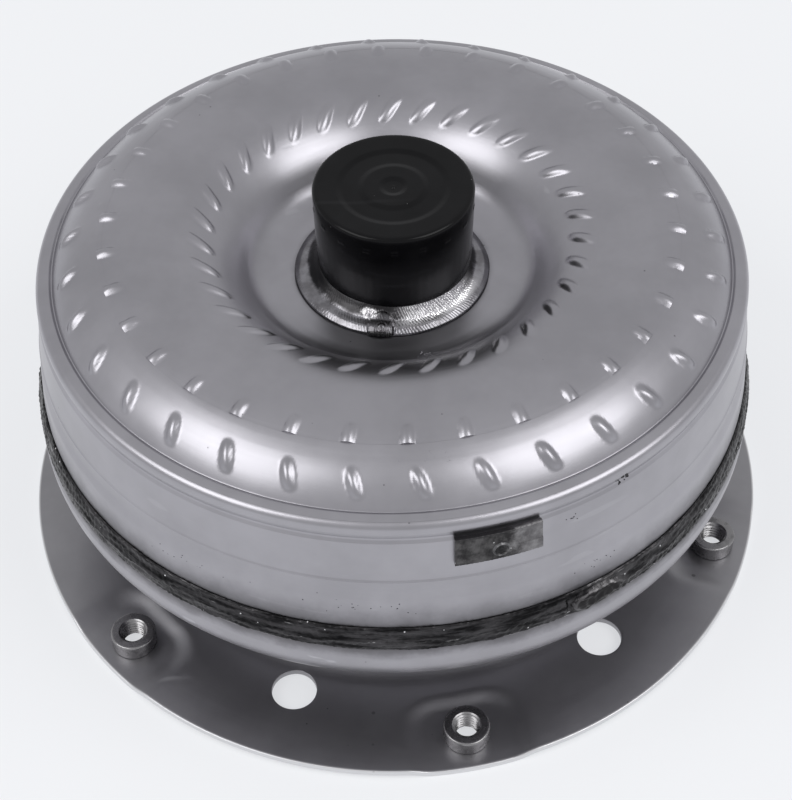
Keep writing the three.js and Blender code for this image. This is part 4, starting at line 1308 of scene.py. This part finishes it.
def make_hub():
    low = HUB.bottom
    bore = HUB.inner
    corners = [
        (bore, low, 0.5),
        (HUB.outer, low, 0.3),
        (HUB.outer, low + 3.2, 0.3),
        (29.4, low + 3.7, 0.5),
        (25, low + 8.7, 2.5),
        (25, HUB.top, 1.0),
        (bore + 0.2, HUB.top, 0.6),
        (bore, HUB.top - 8, 0.3),
    ]
    points, faces = lathe(rounded(corners, 1.4), 240)
    made = piece("impeller_hub_turned", points, faces, "ground_hub", "housing", ["impeller_hub"], 30)
    cutters = [slot_cutter(azimuth_deg) for azimuth_deg in (30, 210)]
    for cutter in cutters:
        notch = made.modifiers.new("slot", "BOOLEAN")
        notch.operation = "DIFFERENCE"
        notch.object = cutter
        notch.solver = "EXACT"
    settle(made, 30)
    for cutter in cutters:
        bpy.data.objects.remove(cutter)


def slot_cutter(azimuth_deg):
    """A block with a rounded floor that cuts one drive slot in the hub's end."""
    width, depth = 9.0, 9.0
    outline = rounded(
        [
            (-width / 2, HUB.top + 5, 0),
            (-width / 2, HUB.top - depth, 1.5),
            (width / 2, HUB.top - depth, 1.5),
            (width / 2, HUB.top + 5, 0),
        ],
        1.0,
        closed=False,
    )
    count = len(outline)
    near = np.column_stack([np.full(count, HUB.inner - 4), outline])
    far = np.column_stack([np.full(count, 29.0), outline])
    points = moved(np.vstack([near, far]), 0, azimuth_deg)
    sides = grid_faces(2, count, False, True)
    ends = [np.arange(count)[None, ::-1], np.arange(count)[None, :] + count]
    groups = [sides, *ends]
    if volume(points, groups) < 0:
        groups = [group[:, ::-1] for group in groups]
    cutter = bpy.data.objects.new("slot_cutter", build_mesh("slot_cutter", points, groups))
    bpy.context.scene.collection.objects.link(cutter)
    return cutter


def settle(made, sharp_deg):
    """Applies an object's modifiers to its mesh."""
    bpy.context.view_layer.update()
    shown = made.evaluated_get(bpy.context.evaluated_depsgraph_get())
    mesh = bpy.data.meshes.new_from_object(shown)
    made.modifiers.clear()
    made.data = mesh
    mesh.set_sharp_from_angle(angle=math.radians(sharp_deg))


def make_cap():
    """The cap, which sits a little to one side on the hub."""
    top = CAP.top
    wall = 2.0
    rim = CAP.outer
    corners = [
        (0, top - wall, 0),
        (rim - wall, top - wall, 1.2),
        (rim - wall - 0.5, CAP.bottom + 1.0, 0.4),
        (rim - wall - 0.2, CAP.bottom, 0.3),
        (rim - 0.75, CAP.bottom, 0.4),
        (rim, top, 1.5),
        (rim - 2.2, top, 1.5),
        (20.6, top - 0.22, 2.5),
        (18.4, top - 0.72, 3.0),
        (12.8, top - 0.66, 3.0),
        (10.6, top - 0.22, 3.0),
        (5.2, top - 0.28, 2.0),
        (3.2, top - 0.8, 1.2),
        (0.9, top - 0.9, 0.2),
        (0.5, top - 0.45, 0.2),
        (0, top - 0.4, 0),
    ]
    outline = rounded(corners, 0.7, closed=False)

    def relief(radius, height, angle):
        outside = radius > rim - 0.8
        across = turned(angle, 10, 18) * rim
        nubs = 0.5 * bell(np.hypot(np.abs(across) - 0.75, height - (top - 6.6)) / 0.6)
        ribs = 0.03 * np.abs(np.cos(angle * 27)) * smooth_step((top - 15 - height) / 4)
        return np.where(outside, nubs + ribs * (height > CAP.bottom + 0.6), 0)

    points, faces = lathe(outline, 360, relief)
    points = points + [CAP_ASIDE, 0, 0]
    piece("hub_cap_moulding", points, faces, "cap_plastic", "cap", ["hub_cap"])


# ---------------------------------------------------------------- damper springs

SPRING_CIRCLE_R = 100.0
SPRING_Z = 62.0
SPRING_SPAN_DEG = 40.0
WIRE_R = 1.55
COIL_R = 5.4
COILS = 12


def make_springs():
    steps = COILS * 28
    turns = np.linspace(0, COILS, steps + 1)
    share = turns / COILS
    end = 0.085
    eased = share + end * np.sin(TAU * share) / TAU * -1.6
    span = math.radians(SPRING_SPAN_DEG) - 2 * WIRE_R / SPRING_CIRCLE_R
    along = (eased - 0.5) * span
    coil = TAU * turns
    radius = SPRING_CIRCLE_R + COIL_R * np.cos(coil)
    height = SPRING_Z + COIL_R * np.sin(coil)
    path = np.column_stack([radius * np.cos(along), radius * np.sin(along), height])
    tangent = np.gradient(path, axis=0)
    tangent /= np.linalg.norm(tangent, axis=1, keepdims=True)
    middle = np.column_stack([np.cos(along), np.sin(along), np.zeros(len(along))])
    middle = middle * SPRING_CIRCLE_R + [0, 0, SPRING_Z]
    outward = path - middle
    outward -= tangent * np.einsum("ij,ij->i", outward, tangent)[:, None]
    outward /= np.linalg.norm(outward, axis=1, keepdims=True)
    sideways = np.cross(tangent, outward)
    sides = 14
    around = np.arange(sides) * TAU / sides
    tube = (
        path[:, None, :]
        + WIRE_R * np.cos(around)[None, :, None] * outward[:, None, :]
        + WIRE_R * np.sin(around)[None, :, None] * sideways[:, None, :]
    )
    rows = len(path)
    quads = grid_faces(rows, sides, False, True)
    ends = [np.arange(sides)[None, ::-1], np.arange(sides)[None, :] + (rows - 1) * sides]
    local = tube.reshape(-1, 3)
    for k in range(6):
        node = f"damper_spring_{k + 1}"
        centre_deg = 30 + 60 * k
        points = moved(local, 0, centre_deg)
        made = piece(f"{node}_coil", points, [quads, *ends], "spring_steel", "turbine", [node], 60)
        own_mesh(made)


# ---------------------------------------------------------------- carried-over CAD nodes


def finish_carried_nodes():
    slots = {row["node"]: row["material_slot"] for row in frame["record"]["subparts"]}
    for node, made in frame["nodes"].items():
        if made.hide_render:
            continue
        made.data.materials.clear()
        made.data.materials.append(FINISHES[slots[node]])


# ---------------------------------------------------------------- floor, light and camera

CAMERA_AT = (0.0, -0.48892, 0.57523)
CAMERA_YAW = 0.00134
CAMERA_PITCH = 0.82845
CAMERA_ROLL = -0.017077
CAMERA_LENS = 81.17

LIGHT_AIM = Vector((0, 0, 0.1))
TENT_RADIANCE = 0.66
SOFTBOX_RADIANCE = 2.7


def make_camera():
    data = bpy.data.cameras.new("camera")
    data.lens = CAMERA_LENS
    data.sensor_width = 36
    data.clip_start = 0.01
    made = bpy.data.objects.new("camera", data)
    bpy.context.scene.collection.objects.link(made)
    level = math.cos(CAMERA_PITCH)
    forward = Vector(
        (math.sin(CAMERA_YAW) * level, math.cos(CAMERA_YAW) * level, -math.sin(CAMERA_PITCH))
    )
    flat_right = Vector((math.cos(CAMERA_YAW), -math.sin(CAMERA_YAW), 0))
    flat_up = flat_right.cross(forward)
    right = math.cos(CAMERA_ROLL) * flat_right + math.sin(CAMERA_ROLL) * flat_up
    up = -math.sin(CAMERA_ROLL) * flat_right + math.cos(CAMERA_ROLL) * flat_up
    rotation = Matrix((right, up, -forward)).transposed().to_4x4()
    made.matrix_world = Matrix.Translation(CAMERA_AT) @ rotation
    bpy.context.scene.camera = made


def make_floor():
    finish = Finish("floor", Metallic=0.0)
    cloud = finish.noise(3.0, 3.0, 0.5)
    finish.base = finish.mix(finish.map(cloud, 0.2, 0.8), (0.28, 0.282, 0.285), (0.30, 0.302, 0.305))
    finish.rough = finish.map(cloud, 0.2, 0.8, 0.75, 0.85)
    mesh = bpy.data.meshes.new("floor")
    half = 6.0
    mesh.from_pydata(
        [(-half, -half, 0), (half, -half, 0), (half, half, 0), (-half, half, 0)], [], [(0, 1, 2, 3)]
    )
    finish.set("Emission Color", (0.94, 0.955, 0.985))
    finish.set("Emission Strength", 0.62)
    mesh.materials.append(close_finish(finish))
    floor = bpy.data.objects.new("floor", mesh)
    bpy.context.scene.collection.objects.link(floor)


def softbox(name, azimuth_deg, from_top_deg, distance, width, height, radiance):
    """An area light that faces the converter from an azimuth and an angle off the vertical."""
    data = bpy.data.lights.new(name, "AREA")
    data.shape = "RECTANGLE"
    data.size, data.size_y = width, height
    data.energy = radiance * math.pi * width * height
    made = bpy.data.objects.new(name, data)
    bpy.context.scene.collection.objects.link(made)
    turn, tilt = math.radians(azimuth_deg), math.radians(from_top_deg)
    away = Vector(
        (math.sin(tilt) * math.cos(turn), math.sin(tilt) * math.sin(turn), math.cos(tilt))
    )
    made.location = LIGHT_AIM + away * distance
    made.rotation_euler = (-away).to_track_quat("-Z", "Y").to_euler()


def make_light():
    world = bpy.data.worlds.new("studio")
    world.use_nodes = True
    backdrop = world.node_tree.nodes["Background"].inputs
    backdrop["Color"].default_value = (0.975, 0.98, 1.0, 1)
    backdrop["Strength"].default_value = TENT_RADIANCE
    bpy.context.scene.world = world
    softbox("left_light", -151, 43, 1.5, 0.95, 0.85, SOFTBOX_RADIANCE)
    softbox("right_light", -29, 41, 1.5, 0.95, 0.85, SOFTBOX_RADIANCE)
    bpy.context.scene.view_settings.view_transform = "Standard"
    bpy.context.scene.view_settings.look = "Medium Contrast"


make_camera()
make_shell()
make_cover()
make_spigot()
make_plate()
make_bosses()
make_seam_weld()
make_hub_weld()
make_plate_weld()
make_weight()
make_spatter()
make_hub()
make_cap()
make_springs()
finish_carried_nodes()
make_floor()
make_light()
